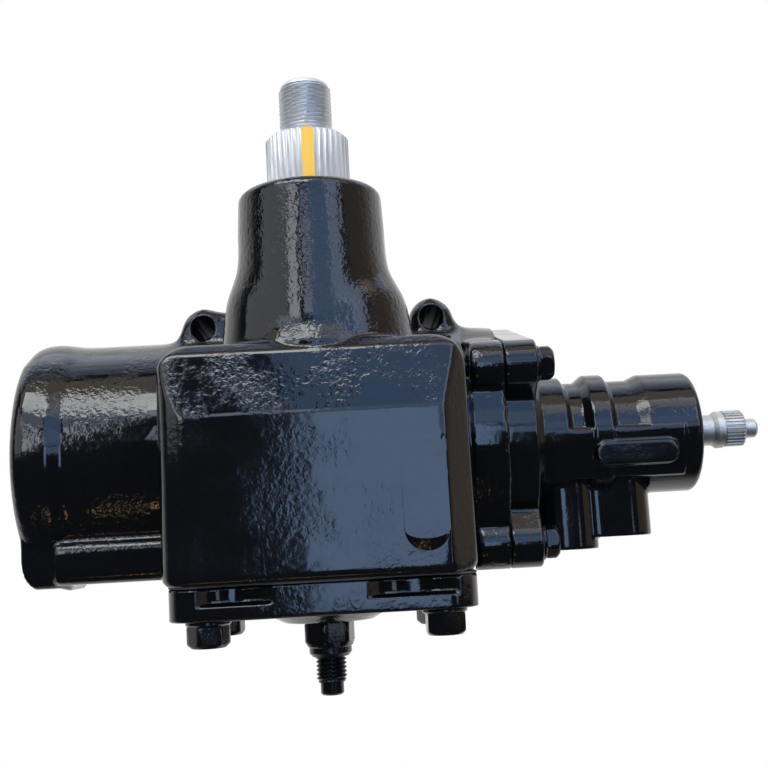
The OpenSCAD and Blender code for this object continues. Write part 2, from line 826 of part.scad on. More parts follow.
module sector_bearing_needles() {
  circle_r = shaft_r + roller_gap + needle_big_r;
  count = floor(360 / (2 * asin((needle_big_r + 0.1) / circle_r)));
  color(steel) on_sector() for (i = [0:count - 1]) rotate(360 * i / count)
    translate([circle_r, 0, 0]) rod(needle_big_r, bearing_z + 1, bearing_z + bearing_len - 1);
}

module sector_oil_seal() {
  color(rubber) on_sector() lip_seal(seal_in_r - seat_gap, shaft_r, seal_z, seal_z + oil_seal_t);
}

module sector_seal_washer() {
  color(steel) on_sector()
    ring(seal_in_r - seat_gap, shaft_r + 1, washer_z, washer_z + washer_t);
}

module sector_dust_seal() {
  color(rubber) on_sector() lip_seal(seal_in_r - seat_gap, shaft_r, dust_z, dust_z + dust_seal_t);
}

module sector_snap_ring() {
  color(steel) on_sector()
    snap_ring(seal_in_r + 1.5 - seat_gap, seal_in_r - 2.5, sector_ring_z + seat_gap,
      sector_ring_z + seat_gap + ring_t);
}

// Outside of the valve housing: flange, ribbed barrel, two port bosses and a front pad
module valve_casting() {
  x0 = joint_x + valve_flange_t;
  low_r = valve_barrel_r - valve_groove;
  rib_r = valve_barrel_r + 1;
  end_round = 3;
  on_worm() {
    translate([0, 0, joint_x]) linear_extrude(valve_flange_t) joint_outline(valve_disc_r);
    rotate_extrude() union() {
      polygon([
        [0, x0 - 2], [valve_barrel_r + 6, x0 - 2], [valve_barrel_r + 0.6, x0 + 5],
        [valve_barrel_r + 0.6, x0 + 16], [low_r, x0 + 18], [low_r, x0 + 23.5],
        [rib_r, x0 + 27.5], [rib_r, x0 + 35.5], [low_r, x0 + 37.5], [low_r, x0 + 47.5],
        [valve_barrel_r, x0 + 52.5], [valve_barrel_r, valve_end_x - end_round],
        [valve_barrel_r - end_round, valve_end_x - end_round],
        [valve_barrel_r - end_round, valve_end_x], [0, valve_end_x]
      ]);
      translate([valve_barrel_r - end_round, valve_end_x - end_round]) circle(r = end_round);
    }
    rod(spigot_r - run_gap, spigot_x, joint_x + past);
  }
  port_boss(port_boss_1, port_depth_y_1, port_bottom_1);
  port_boss([port_boss_1[1] - port_round, port_boss_2[1]], port_depth_y_2, port_bottom_2);
  lower_shell();
  front_pad();
}

// Fuller lower front of the barrel, which ends the ribs and grooves at a ledge
module lower_shell() {
  shell_x = [joint_x + 17.5, joint_x + 80.5];
  shell_z = [-20, 1.4];
  intersection() {
    on_worm() rod(valve_barrel_r + 0.6, shell_x[0], shell_x[1]);
    translate([shell_x[0], worm_y - 2 * valve_barrel_r, shell_z[0]])
      cube([shell_x[1] - shell_x[0], 2 * valve_barrel_r, shell_z[1] - shell_z[0]]);
  }
}

// Column under the barrel that a hydraulic port is drilled into
module port_boss(span, half_y, bottom) {
  translate([0, worm_y, -bottom]) linear_extrude(bottom)
    rounded(span[0], span[1], -half_y, half_y, port_round);
}

// Raised pad with rounded ends along the front of the barrel
module front_pad() {
  pad_x = [joint_x + 40.5, joint_x + 76.5];
  pad_z = [-15, -5];
  pad_out = 1.6;
  translate([0, worm_y, 0]) rotate([90, 0, 0]) linear_extrude(valve_barrel_r + pad_out)
    rounded(pad_x[0], pad_x[1], pad_z[0], pad_z[1], (pad_z[1] - pad_z[0]) / 2 - 0.5);
}

// Hydraulic port: tapped hole, room for the seat's cone, seat bore and passage up to the sleeve bore
module port_hole(x, bottom, r) {
  translate([x, worm_y, -bottom]) {
    rod(r, -past, port_depth);
    rod(seat_r + 0.8, port_depth - past, port_depth + seat_room);
    rod(seat_r, port_depth, port_depth + seat_room + seat_len);
    rod(seat_hole_r, port_depth, bottom);
  }
}

// Valve housing, bored for the sleeve, the bearing and the seals
module valve_housing() {
  color(castings) difference() {
    valve_casting();
    on_worm() {
      rod(sleeve_bore_r, spigot_x - past, sleeve_stop_x);
      rod(input_shell_r, sleeve_stop_x - past, valve_end_x + past);
      rod(seal_bore_r, input_seal_x, valve_end_x + past);
      ring(seal_bore_r + 1.2, seal_bore_r - past, input_ring_x, input_ring_x + ring_t + 2 * seat_gap);
      ring(spigot_r + past, spigot_r - 2, joint_x - 3.2, joint_x - 1);
      at_valve_bolts() rod(valve_bolt_r + bolt_gap, joint_x - past, joint_x + valve_flange_t + past);
    }
    port_hole(port_x_1, port_bottom_1, pressure_port_r);
    port_hole(port_x_2, port_bottom_2, return_port_r);
  }
}

module valve_housing_seal() {
  color(rubber) on_worm()
    ring(spigot_r - seat_gap, spigot_r - 2 + seat_gap, joint_x - 3.2 + seat_gap, joint_x - 1 - seat_gap);
}

module valve_housing_bolts() {
  seat = joint_x + valve_flange_t;
  color(castings) on_worm() at_valve_bolts() translate([0, 0, seat]) mirror([0, 0, 1])
    flange_bolt(valve_bolt_r, valve_flange_t + valve_thread_depth, valve_bolt_flats,
      valve_bolt_head, 0);
}

module thrust_races() {
  color(steel) on_worm() for (x = [thrust_x, far_thrust_x], side = [0, 1])
    ring(thrust_r, worm_head_r, x + side * (stack_t - race_t), x + side * (stack_t - race_t) + race_t);
}

module thrust_rollers() {
  count = 18;
  color(steel) on_worm() for (x = [thrust_x, far_thrust_x], i = [0:count - 1])
    rotate(360 * i / count) translate([worm_head_r + 0.6, 0, x + stack_t / 2]) rotate([0, 90, 0])
      cylinder(r = roller_r - seat_gap, h = thrust_r - worm_head_r - 1.2);
}

module input_bearing_shell() {
  color(dark_steel) on_worm()
    ring(input_shell_r - seat_gap, input_shell_in_r, input_bearing_x,
      input_bearing_x + input_bearing_len);
}

module input_bearing_needles() {
  circle_r = input_journal_r + roller_gap + needle_r;
  count = floor(360 / (2 * asin((needle_r + 0.08) / circle_r)));
  color(steel) on_worm() for (i = [0:count - 1]) rotate(360 * i / count)
    translate([circle_r, 0, 0])
      rod(needle_r, input_bearing_x + 1, input_bearing_x + input_bearing_len - 1);
}

module input_oil_seal() {
  color(rubber) on_worm()
    lip_seal(seal_bore_r - seat_gap, input_journal_r, input_seal_x, input_seal_x + input_seal_t);
}

module input_dust_seal() {
  color(rubber) on_worm()
    lip_seal(seal_bore_r - seat_gap, input_journal_r, input_dust_x, input_dust_x + input_dust_t);
}

module input_snap_ring() {
  color(steel) on_worm()
    snap_ring(seal_bore_r + 1.2 - seat_gap, seal_bore_r - 2, input_ring_x + seat_gap,
      input_ring_x + seat_gap + ring_t);
}

// Coned seat pressed into the bottom of a port
module port_seat(x, bottom) {
  cone_h = seat_room - 0.2;
  color(brass) translate([x, worm_y, port_depth + seat_room - bottom]) difference() {
    union() {
      rod(seat_r - seat_gap, 0, seat_len);
      rotate_extrude()
        polygon([[0, -cone_h], [seat_hole_r + 0.6, -cone_h], [seat_r - seat_gap, 0], [0, 0]]);
    }
    rod(seat_hole_r, -cone_h - past, seat_len + past);
  }
}

module pressure_port_seat() {
  port_seat(port_x_1, port_bottom_1);
}

module return_port_seat() {
  port_seat(port_x_2, port_bottom_2);
}

// One space of the rack, cut from the tip plane to the root plane
module rack_space() {
  half = rack_pitch / 4;
  slope = tan(pressure_angle);
  polygon([
    [-half - (addendum + past) * slope, rack_tip_h + past], [-half + dedendum * slope, rack_root_h],
    [half - dedendum * slope, rack_root_h], [half + (addendum + past) * slope, rack_tip_h + past]
  ]);
}

// Place of ball i on its helix round the worm
function ball_turn(i) = (i - (ball_count - 1) / 2) * ball_step;
function ball_place(i) = let (a = ball_turn(i)) [
  ball_circle_r * cos(a + ball_phase), ball_circle_r * sin(a + ball_phase), lead * a / 360
];

// Rack piston: round head, flat with rack teeth, ball nut bore with pockets, and the guide's pocket
module rack_piston() {
  tall = 2 * piston_r + 2 * past;
  color(steel) difference() {
    on_worm() rod(piston_r, -head_left, rack_right);
    translate([-rack_left, worm_y - rack_tip_h - bore_r, -tall / 2])
      cube([rack_left + rack_right + past, bore_r, tall]);
    for (side = tooth_side) translate([side * rack_pitch, worm_y, -tall / 2])
      linear_extrude(tall) mirror([0, 1]) rack_space();
    on_worm() {
      rod(nut_bore_r, nut_plug_t - head_left, rack_right + past);
      rod(nut_bore_r + 2, -head_left - past, nut_plug_t - head_left);
      ring(piston_r + past, piston_r - ring_groove_depth, ring_groove[0], ring_groove[1]);
      for (i = [0:ball_count - 1]) translate(ball_place(i)) sphere(r = pocket_r);
    }
    translate([-guide_pocket[0] / 2, worm_y + guide_floor, -guide_pocket[1]])
      cube([guide_pocket[0], bore_r, 2 * guide_pocket[1]]);
    for (side = [-1, 1]) {
      translate([side * guide_leg_x, worm_y, 0]) rotate([-90, 0, 0])
        cylinder(r = guide_leg_r + seat_gap, h = guide_floor + past);
      translate([0, worm_y + guide_floor - guide_screw_depth, side * guide_screw_z])
        rotate([-90, 0, 0]) cylinder(r = guide_screw_r + seat_gap, h = guide_screw_depth + past);
    }
  }
}

module piston_ring() {
  color(brass) on_worm() ring(bore_r - run_gap / 2, piston_ring_in_r, ring_groove[0] + seat_gap,
    ring_groove[1] - seat_gap);
}

module piston_ring_backer() {
  color(rubber) on_worm() ring(piston_ring_in_r - seat_gap, piston_r - ring_groove_depth + seat_gap,
    ring_groove[0] + backer_gap, ring_groove[1] - backer_gap);
}

// Plug in the closed end of the piston with a square drive socket
module piston_end_plug() {
  socket_w = 12.7;
  socket_depth = 5;
  color(dark_steel) on_worm() difference() {
    rod(nut_bore_r + 2 - seat_gap, -head_left, nut_plug_t - head_left);
    translate([-socket_w / 2, -socket_w / 2, -head_left - past])
      cube([socket_w, socket_w, socket_depth + past]);
  }
}

module recirculating_balls() {
  color(steel) on_worm() for (i = [0:ball_count - 1]) translate(ball_place(i)) sphere(r = ball_r);
}

// Return guide: two legs down to the ends of the ball helix, joined by a bridge with a ball channel
module ball_return_guide() {
  leg_in = ball_circle_r + ball_r;
  bridge_r = guide_leg_r - seat_gap;
  top = guide_floor + guide_bridge_h - guide_leg_r;
  color(steel) translate([0, worm_y, 0]) difference() {
    union() {
      for (side = [-1, 1]) translate([side * guide_leg_x, leg_in, 0]) rotate([-90, 0, 0])
        cylinder(r = guide_leg_r, h = top - leg_in);
      translate([-guide_leg_x, top, 0]) rotate([0, 90, 0]) cylinder(r = bridge_r, h = 2 * guide_leg_x);
      for (side = [-1, 1]) translate([side * guide_leg_x, top, 0]) sphere(r = guide_leg_r);
    }
    for (side = [-1, 1]) translate([side * guide_leg_x, leg_in - past, 0]) rotate([-90, 0, 0])
      cylinder(r = ball_r + 0.2, h = top - leg_in + past);
    translate([-guide_leg_x, top, 0]) rotate([0, 90, 0])
      cylinder(r = ball_r + 0.2, h = 2 * guide_leg_x);
  }
}

// Strap over the return guide with a screw foot at each side
module guide_clamp() {
  top = guide_floor + guide_bridge_h + roller_gap;
  inner = guide_leg_r + roller_gap;
  foot_end = guide_pocket[1] - 1;
  color(dark_steel) translate([0, worm_y, 0]) difference() {
    translate([-clamp_w / 2, 0, 0]) rotate([90, 0, 90]) linear_extrude(clamp_w) difference() {
      union() {
        translate([guide_floor, -foot_end]) square([clamp_t, 2 * foot_end]);
        translate([guide_floor, -inner - clamp_t])
          square([top - guide_floor + clamp_t, 2 * (inner + clamp_t)]);
      }
      translate([guide_floor - past, -inner]) square([top - guide_floor + past, 2 * inner]);
    }
    for (side = [-1, 1]) translate([0, guide_floor, side * guide_screw_z]) rotate([-90, 0, 0])
      rod(guide_screw_r + bolt_gap, -past, clamp_t + past);
  }
}

module guide_screws() {
  head_r = 3.2;
  head_h = 2.4;
  color(steel) translate([0, worm_y + guide_floor + clamp_t, 0]) for (side = [-1, 1])
    translate([0, 0, side * guide_screw_z]) rotate([-90, 0, 0]) {
      rod(head_r, 0, head_h);
      rod(guide_screw_r, 0.5 - clamp_t - guide_screw_depth, head_h);
    }
}

// Depth of the ball groove at an angle round the worm, from the sphere that sweeps along the helix
function groove_reach(t) = groove_r * groove_r - pow(lead * t / 360, 2);
function groove_inner(a) = min([for (d = [-8:4:8])
  let (free = groove_reach(a + d) - pow(ball_circle_r * sin(d), 2))
    free > 0 ? ball_circle_r * cos(d) - sqrt(free) : worm_r]);

// Worm: a right-handed ball thread between a plain end, a thrust flange and the valve's head
module worm_shaft() {
  points = 24;
  slices_per_turn = 18;
  turns = 2 * worm_half / lead;
  drive_x = sleeve_x + 3.5;
  color(steel) on_worm() difference() {
    union() {
      translate([0, 0, -worm_half]) rotate(ball_phase - 360 * worm_half / lead)
        linear_extrude(2 * worm_half, twist = -360 * turns, slices = round(turns * slices_per_turn),
          $fn = points)
          polygon([for (i = [0:points - 1]) let (a = 360 * i / points - 180, r = min(worm_r, groove_inner(a)))
            r * [cos(a), sin(a)]]);
      rod(worm_neck_r, worm_half, worm_flange_x + past);
      rod(thrust_r, worm_flange_x, worm_flange_x + worm_flange_t);
      rod(worm_head_r - run_gap, worm_flange_x + worm_flange_t - past, worm_head_x);
    }
    rod(bar_r + run_gap, bar_x - 0.5, worm_head_x + past);
    translate([0, 0, drive_x]) rotate([-90, 0, 0]) cylinder(r = 2 + seat_gap, h = worm_head_r + past);
  }
}

// Valve sleeve: ring grooves and oil grooves outside, drive hole at the worm's end
module valve_sleeve() {
  drive_x = sleeve_x + 3.5;
  oil_groove_w = 0.48 * sleeve_step;
  oil_groove_t = 1.5;
  oil_hole_r = 1.6;
  color(steel) on_worm() difference() {
    rod(sleeve_r, sleeve_x, sleeve_end_x);
    rod(spool_r + run_gap, sleeve_x - past, sleeve_end_x + past);
    rod(worm_head_r, sleeve_x - past, worm_head_x + 0.5);
    for (i = [0:3]) let (x = sleeve_ring_x + sleeve_step * i)
      ring(sleeve_r + past, sleeve_r - sleeve_ring_t, x, x + sleeve_ring_w);
    for (i = [0:2]) let (x = sleeve_ring_x + sleeve_step * (i + 0.4))
      ring(sleeve_r + past, sleeve_r - oil_groove_t, x, x + oil_groove_w);
    for (i = [0:2], k = [0:3]) let (x = sleeve_ring_x + sleeve_step * (i + 0.4) + oil_groove_w / 2)
      translate([0, 0, x]) rotate(90 * k + 30 * i) rotate([0, 90, 0])
        cylinder(r = oil_hole_r, h = sleeve_r + past);
    translate([0, 0, drive_x]) rotate([-90, 0, 0]) cylinder(r = 2 + seat_gap, h = sleeve_r + past);
  }
}

module valve_sleeve_rings() {
  color(brass) on_worm() for (i = [0:3]) let (x = sleeve_ring_x + sleeve_step * i)
    ring(sleeve_bore_r - run_gap, sleeve_r - sleeve_ring_t + seat_gap, x + seat_gap,
      x + sleeve_ring_w - seat_gap);
}

// Pin that locks the valve sleeve to the worm's head
module valve_drive_pin() {
  drive_x = sleeve_x + 3.5;
  color(dark_steel) on_worm() translate([0, 0, drive_x]) rotate([-90, 0, 0])
    translate([0, 0, bar_r + 1]) cylinder(r = 2, h = sleeve_r - bar_r - 1.5);
}

// Input shaft: slotted spool, journal, necked end with serrations, an index flat and a pilot
module input_shaft() {
  slot_w = 4;
  slot_depth = 1.6;
  chamfer = 1;
  flat_depth = 1;
  pin_x = input_seal_x + 2;
  color(steel) on_worm() difference() {
    union() {
      rod(spool_r, spool_x, sleeve_end_x);
      rotate_extrude() polygon([
        [0, sleeve_end_x - past], [input_journal_r, sleeve_end_x - past],
        [input_journal_r, journal_end_x], [input_neck_r, journal_end_x + 3],
        [input_neck_r, input_spline_x - shoulder_len - 2],
        [input_spline_r - 0.3, input_spline_x - shoulder_len], [input_spline_r - 0.3, input_spline_x - 0.8],
        [input_spline_r - 1, input_spline_x - 0.5], [input_spline_r - 1, input_spline_x + past],
        [0, input_spline_x + past]
      ]);
      intersection() {
        translate([0, 0, input_spline_x]) linear_extrude(input_spline_len)
          serration(input_spline_count, input_spline_r, 0.7, 0);
        rotate_extrude() polygon([
          [0, input_spline_x], [input_spline_r + 1, input_spline_x],
          [input_spline_r + 1, pilot_x - chamfer - 1], [input_spline_r - chamfer, pilot_x], [0, pilot_x]
        ]);
      }
      rotate_extrude() polygon([
        [0, pilot_x - past], [pilot_r, pilot_x - past], [pilot_r, input_tip_x - chamfer],
        [pilot_r - chamfer, input_tip_x], [0, input_tip_x]
      ]);
    }
    rod(bar_r + seat_gap, spool_x - past, bar_end_x + 1);
    for (k = [0:5]) rotate(60 * k) translate([spool_r - slot_depth, -slot_w / 2, spool_x + 12])
      cube([slot_depth + past, slot_w, sleeve_len - 24]);
    translate([0, 0, pin_x]) rotate([-90, 0, 0]) translate([0, 0, -input_journal_r - past])
      cylinder(r = 2 + seat_gap, h = 2 * input_journal_r + 2 * past);
    translate([input_spline_r - flat_depth, -input_spline_r, input_spline_x])
      cube([flat_depth + past, 2 * input_spline_r, input_spline_len]);
  }
}

// Torsion bar from the worm's head through the input shaft, drilled for its pin
module torsion_bar() {
  pin_x = input_seal_x + 2;
  thin_r = bar_r - 1.2;
  color(steel) on_worm() difference() {
    rotate_extrude() polygon([
      [0, bar_x], [bar_r, bar_x], [bar_r, bar_x + 14], [thin_r, bar_x + 18],
      [thin_r, bar_end_x - 18], [bar_r, bar_end_x - 14], [bar_r, bar_end_x], [0, bar_end_x]
    ]);
    translate([0, -bar_r - past, pin_x]) rotate([-90, 0, 0])
      cylinder(r = 2 + seat_gap, h = 2 * bar_r + 2 * past);
  }
}

module torsion_bar_pin() {
  pin_x = input_seal_x + 2;
  pin_half = input_journal_r - 0.3;
  color(dark_steel) on_worm() translate([0, -pin_half, pin_x]) rotate([-90, 0, 0])
    cylinder(r = 2, h = 2 * pin_half);
}

main_housing();
end_plug();
end_plug_seal();
end_plug_snap_ring();
sector_cover();
cover_gasket();
cover_bolts();
cover_bushing();
adjuster_locknut();
adjuster_screw();
adjuster_retainer();
sector_shaft();
sector_bearing_shell();
sector_bearing_needles();
sector_oil_seal();
sector_seal_washer();
sector_dust_seal();
sector_snap_ring();
valve_housing();
valve_housing_seal();
valve_housing_bolts();
thrust_races();
thrust_rollers();
input_bearing_shell();
input_bearing_needles();
input_oil_seal();
input_dust_seal();
input_snap_ring();
pressure_port_seat();
return_port_seat();
rack_piston();
piston_ring();
piston_ring_backer();
piston_end_plug();
recirculating_balls();
ball_return_guide();
guide_clamp();
guide_screws();
worm_shaft();
valve_sleeve();
valve_sleeve_rings();
valve_drive_pin();
input_shaft();
torsion_bar();
torsion_bar_pin();
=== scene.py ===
import json
import math

import bmesh
import bpy
import numpy as np
from mathutils import Matrix, Vector, noise
from mathutils.bvhtree import BVHTree


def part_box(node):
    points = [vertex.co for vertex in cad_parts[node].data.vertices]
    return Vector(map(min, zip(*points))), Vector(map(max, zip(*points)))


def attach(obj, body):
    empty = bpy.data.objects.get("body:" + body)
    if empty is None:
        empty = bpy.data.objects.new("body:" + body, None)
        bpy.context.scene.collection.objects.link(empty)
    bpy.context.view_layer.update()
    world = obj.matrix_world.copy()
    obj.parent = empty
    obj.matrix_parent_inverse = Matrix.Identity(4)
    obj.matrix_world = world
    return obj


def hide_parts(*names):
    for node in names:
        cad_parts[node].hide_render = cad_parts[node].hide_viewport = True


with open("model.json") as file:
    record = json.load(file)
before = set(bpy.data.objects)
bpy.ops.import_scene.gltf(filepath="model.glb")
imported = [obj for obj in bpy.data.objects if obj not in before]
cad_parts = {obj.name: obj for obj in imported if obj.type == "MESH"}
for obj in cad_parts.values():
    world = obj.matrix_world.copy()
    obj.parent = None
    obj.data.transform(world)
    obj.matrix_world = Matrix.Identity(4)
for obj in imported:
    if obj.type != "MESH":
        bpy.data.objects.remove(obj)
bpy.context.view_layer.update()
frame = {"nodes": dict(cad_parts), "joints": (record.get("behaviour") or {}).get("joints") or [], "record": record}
scene = bpy.context.scene
scene.view_settings.view_transform = "Standard"

# Camera: a hand-held shot from just below the worm axis, looking slightly up at the front of the
# gearbox, with a normal lens and a small roll.
camera_eye = Vector((0.014, -0.56759, -0.03942))
camera_yaw = math.radians(-1.635)
camera_pitch = math.radians(7.659)
camera_roll = math.radians(3.146)
photo_width = 768
focal_pixels = 1120.2
sensor_mm = 36.0
camera = bpy.data.cameras.new("camera")
camera.sensor_width = sensor_mm
camera.lens = sensor_mm * focal_pixels / photo_width
camera.clip_start = 0.01
camera_object = bpy.data.objects.new("camera", camera)
scene.collection.objects.link(camera_object)
turned = (
    Matrix.Rotation(camera_yaw, 3, "Z")
    @ Matrix.Rotation(camera_pitch, 3, "X")
    @ Matrix.Rotation(camera_roll, 3, "Y")
)
looking = turned @ Matrix.Rotation(math.radians(90), 3, "X")
camera_object.matrix_world = Matrix.Translation(camera_eye) @ looking.to_4x4()
scene.camera = camera_object


# Stage: a pale studio floor well below the gearbox, which hangs as it does on its frame rail, and a
# white sweep behind it. The floor runs out into that white.
def linear(hex_colour):
    """An sRGB hex value as linear red, green, blue and alpha."""
    parts = [int(hex_colour[i : i + 2], 16) / 255 for i in (1, 3, 5)]
    return [p / 12.92 if p <= 0.04045 else ((p + 0.055) / 1.055) ** 2.4 for p in parts] + [1.0]


def add_node(tree, kind, values=None, links=None, **settings):
    """Adds a node with its settings, its sockets' values and the links into it."""
    node = tree.nodes.new(kind)
    for name, value in settings.items():
        setattr(node, name, value)
    for name, value in (values or {}).items():
        node.inputs[name].default_value = value
    for name, source in (links or {}).items():
        tree.links.new(source, node.inputs[name])
    return node


def new_material(name):
    """An empty node material, its tree and its output node."""
    material = bpy.data.materials.new(name)
    material.use_nodes = True
    tree = material.node_tree
    tree.nodes.clear()
    return material, tree, add_node(tree, "ShaderNodeOutputMaterial")


def new_piece(name, mesh):
    """A mesh object at the origin, linked to the scene."""
    piece = bpy.data.objects.new(name, mesh)
    scene.collection.objects.link(piece)
    return piece


floor_z = -0.30
floor_size = 12.0
floor_clear_from = 0.35
floor_clear_to = 0.75
floor_mesh = bpy.data.meshes.new("studio_floor")
half_floor = floor_size / 2
floor_mesh.from_pydata(
    [(x * half_floor, y * half_floor, floor_z) for x, y in ((-1, -1), (1, -1), (1, 1), (-1, 1))],
    [],
    [(0, 1, 2, 3)],
)
floor = new_piece("studio_floor", floor_mesh)
floor_paint, tree, out = new_material("pale_studio_floor")
place = add_node(tree, "ShaderNodeTexCoord")
flat = add_node(
    tree, "ShaderNodeVectorMath", {1: (1, 1, 0)}, {0: place.outputs["Object"]}, operation="MULTIPLY"
)
away = add_node(tree, "ShaderNodeVectorMath", links={0: flat.outputs[0]}, operation="LENGTH")
clear = add_node(
    tree,
    "ShaderNodeMapRange",
    {"From Min": floor_clear_from, "From Max": floor_clear_to},
    {"Value": away.outputs["Value"]},
    interpolation_type="SMOOTHSTEP",
)
ray = add_node(tree, "ShaderNodeLightPath")
seen = add_node(
    tree,
    "ShaderNodeMath",
    links={0: clear.outputs[0], 1: ray.outputs["Is Camera Ray"]},
    operation="MULTIPLY",
)
pale = add_node(tree, "ShaderNodeBsdfDiffuse", {"Color": linear("#F2F2F0")})
white = add_node(tree, "ShaderNodeEmission", {"Color": (1, 1, 1, 1), "Strength": 1.0})
floor_mix = add_node(
    tree,
    "ShaderNodeMixShader",
    links={0: seen.outputs[0], 1: pale.outputs[0], 2: white.outputs[0]},
)
tree.links.new(floor_mix.outputs[0], out.inputs["Surface"])
floor_mesh.materials.append(floor_paint)
floor.visible_glossy = False

# Studio light: a white sweep behind the gearbox and a dim room in front of it. Soft boxes stand for
# the open sky, the gaps on the left, a brown wall and a patch of sunlit ground.
world = bpy.data.worlds.new("studio")
world.use_nodes = True
scene.world = world
tree = world.node_tree
tree.nodes.clear()
out = add_node(tree, "ShaderNodeOutputWorld")
place = add_node(tree, "ShaderNodeTexCoord")
axes = add_node(tree, "ShaderNodeSeparateXYZ", links={0: place.outputs["Generated"]})
behind = add_node(
    tree,
    "ShaderNodeMapRange",
    {"From Min": 0.0, "From Max": 0.5, "To Min": 0.04, "To Max": 1.0},
    {"Value": axes.outputs["Y"]},
    interpolation_type="SMOOTHSTEP",
)
room = add_node(
    tree, "ShaderNodeBackground", {"Color": (1, 1, 1, 1)}, {"Strength": behind.outputs[0]}
)
ambient = add_node(tree, "ShaderNodeBackground", {"Color": linear("#F4F7FF"), "Strength": 0.30})
sweep = add_node(tree, "ShaderNodeBackground", {"Color": (1, 1, 1, 1), "Strength": 1.0})
ray = add_node(tree, "ShaderNodeLightPath")
mirrored = add_node(
    tree,
    "ShaderNodeMath",
    links={0: ray.outputs["Is Glossy Ray"], 1: ray.outputs["Is Transmission Ray"]},
    operation="MAXIMUM",
)
surround = add_node(
    tree,
    "ShaderNodeMixShader",
    links={0: mirrored.outputs[0], 1: ambient.outputs[0], 2: room.outputs[0]},
)
shown = add_node(
    tree,
    "ShaderNodeMixShader",
    links={0: ray.outputs["Is Camera Ray"], 1: surround.outputs[0], 2: sweep.outputs[0]},
)
tree.links.new(shown.outputs[0], out.inputs["Surface"])


def soft_box(name, azimuth, elevation, distance, wide, high, radiance, colour):
    """An area lamp of a given surface brightness, seen from the gearbox under the given angles."""
    turn, tilt = math.radians(azimuth), math.radians(elevation)
    level = math.cos(tilt)
    away = Vector((math.sin(turn) * level, -math.cos(turn) * level, math.sin(tilt)))
    aim = Vector((0.02, -0.11, 0.01))
    lamp = bpy.data.lights.new(name, "AREA")
    lamp.shape = "RECTANGLE"
    lamp.size = 2 * distance * math.tan(math.radians(wide / 2))
    lamp.size_y = 2 * distance * math.tan(math.radians(high / 2))
    lamp.energy = math.pi * radiance * lamp.size * lamp.size_y
    lamp.color = linear(colour)[:3]
    lamp_object = bpy.data.objects.new(name, lamp)
    lamp_object.location = aim + distance * away
    lamp_object.rotation_euler = (-away).to_track_quat("-Z", "Y").to_euler()
    scene.collection.objects.link(lamp_object)


# Azimuth and elevation, distance in metres, width and height in degrees, brightness and colour
soft_box("low_sky", 2.9, 3, 2.4, 12.2, 18, 4.0, "#ACCEFF")
soft_box("open_sky", 14, 20, 2.4, 32, 14, 2.3, "#A6CBFF")
soft_box("upper_sky", 14, 35, 2.4, 32, 16, 2.0, "#98C2FF")
soft_box("sky_right", 39, 22, 2.4, 18, 36, 3.0, "#C6DCFF")
soft_box("horizon_right", 19.5, 8.5, 2.4, 21, 7, 2.3, "#A6CBFF")
soft_box("gate_right", 33, -4, 2.4, 6, 7, 2.2, "#D6E4FA")
soft_box("overhead_left", -29.5, 52, 2.2, 41, 17, 7.2, "#F4F9FA")
soft_box("overhead_right", 20.5, 51.5, 2.2, 59, 17, 2.2, "#E4ECF8")
soft_box("eaves", 0, 72, 2.2, 100, 26, 1.4, "#D6C8B8")
soft_box("sky_behind", 180, 71, 2.2, 100, 36, 0.9, "#C4D6FA")
soft_box("sky_left", -34.5, 35, 2.2, 31, 16, 1.9, "#D2E0FA")
soft_box("gap_left", -27, 18, 2.0, 14, 20, 4.8, "#F0F6FF")
soft_box("gap_middle", -8, 20, 2.0, 10, 12, 3.2, "#D8E6FF")
soft_box("far_left", -59, 20, 2.0, 42, 30, 1.4, "#E8ECF4")
soft_box("wall_right", 78, 20, 2.0, 44, 50, 0.65, "#C8B49C")
soft_box("lit_ground", -12, -50, 1.6, 16, 3, 6.0, "#E0BC7C")

# Main casting: one sand casting of grey iron with the cylinder, the block round the sector, the
# tower and four frame ears. Its joints and bores are machined, and thick black enamel covers it.
joint_at = {j["name"]: j["pos_m"] for j in frame["joints"] if "pos_m" in j}
sector_y = joint_at["sector_swing"][1]
worm_y = joint_at["worm_turn"][1]


def mesh_copy(node):
    """A CAD node's mesh with its loose triangles merged."""
    work = bmesh.new()
    work.from_mesh(frame["nodes"][node].data)
    bmesh.ops.remove_doubles(work, verts=work.verts, dist=1e-6)
    mesh = bpy.data.meshes.new(node + "_copy")
    work.to_mesh(mesh)
    work.free()
    mesh.materials.clear()
    return mesh


def applied(piece):
    """Turns a piece with its modifiers into a plain mesh."""
    drawn = piece.evaluated_get(bpy.context.evaluated_depsgraph_get())
    piece.data = bpy.data.meshes.new_from_object(drawn)
    piece.modifiers.clear()


def points_of(mesh):
    """A mesh's vertices as an array."""
    places = np.empty(len(mesh.vertices) * 3)
    mesh.vertices.foreach_get("co", places)
    return places.reshape(-1, 3)


def move_points(mesh, places):
    """Sets a mesh's vertices from an array."""
    mesh.vertices.foreach_set("co", places.ravel())
    mesh.update()


def relaxed(mesh, places, weight, rounds):
    """Moves points halfway to the middle of their neighbours, as far as their weight lets them."""
    ends = np.empty(len(mesh.edges) * 2, dtype=np.int64)
    mesh.edges.foreach_get("vertices", ends)
    near, far = ends.reshape(-1, 2).T
    count = np.bincount(ends, minlength=len(places))[:, None]
    for _ in range(rounds):
        total = np.zeros_like(places)
        for axis in range(3):
            total[:, axis] = np.bincount(near, places[far, axis], len(places))
            total[:, axis] += np.bincount(far, places[near, axis], len(places))
        places = places + 0.5 * weight[:, None] * (total / count - places)
    return places


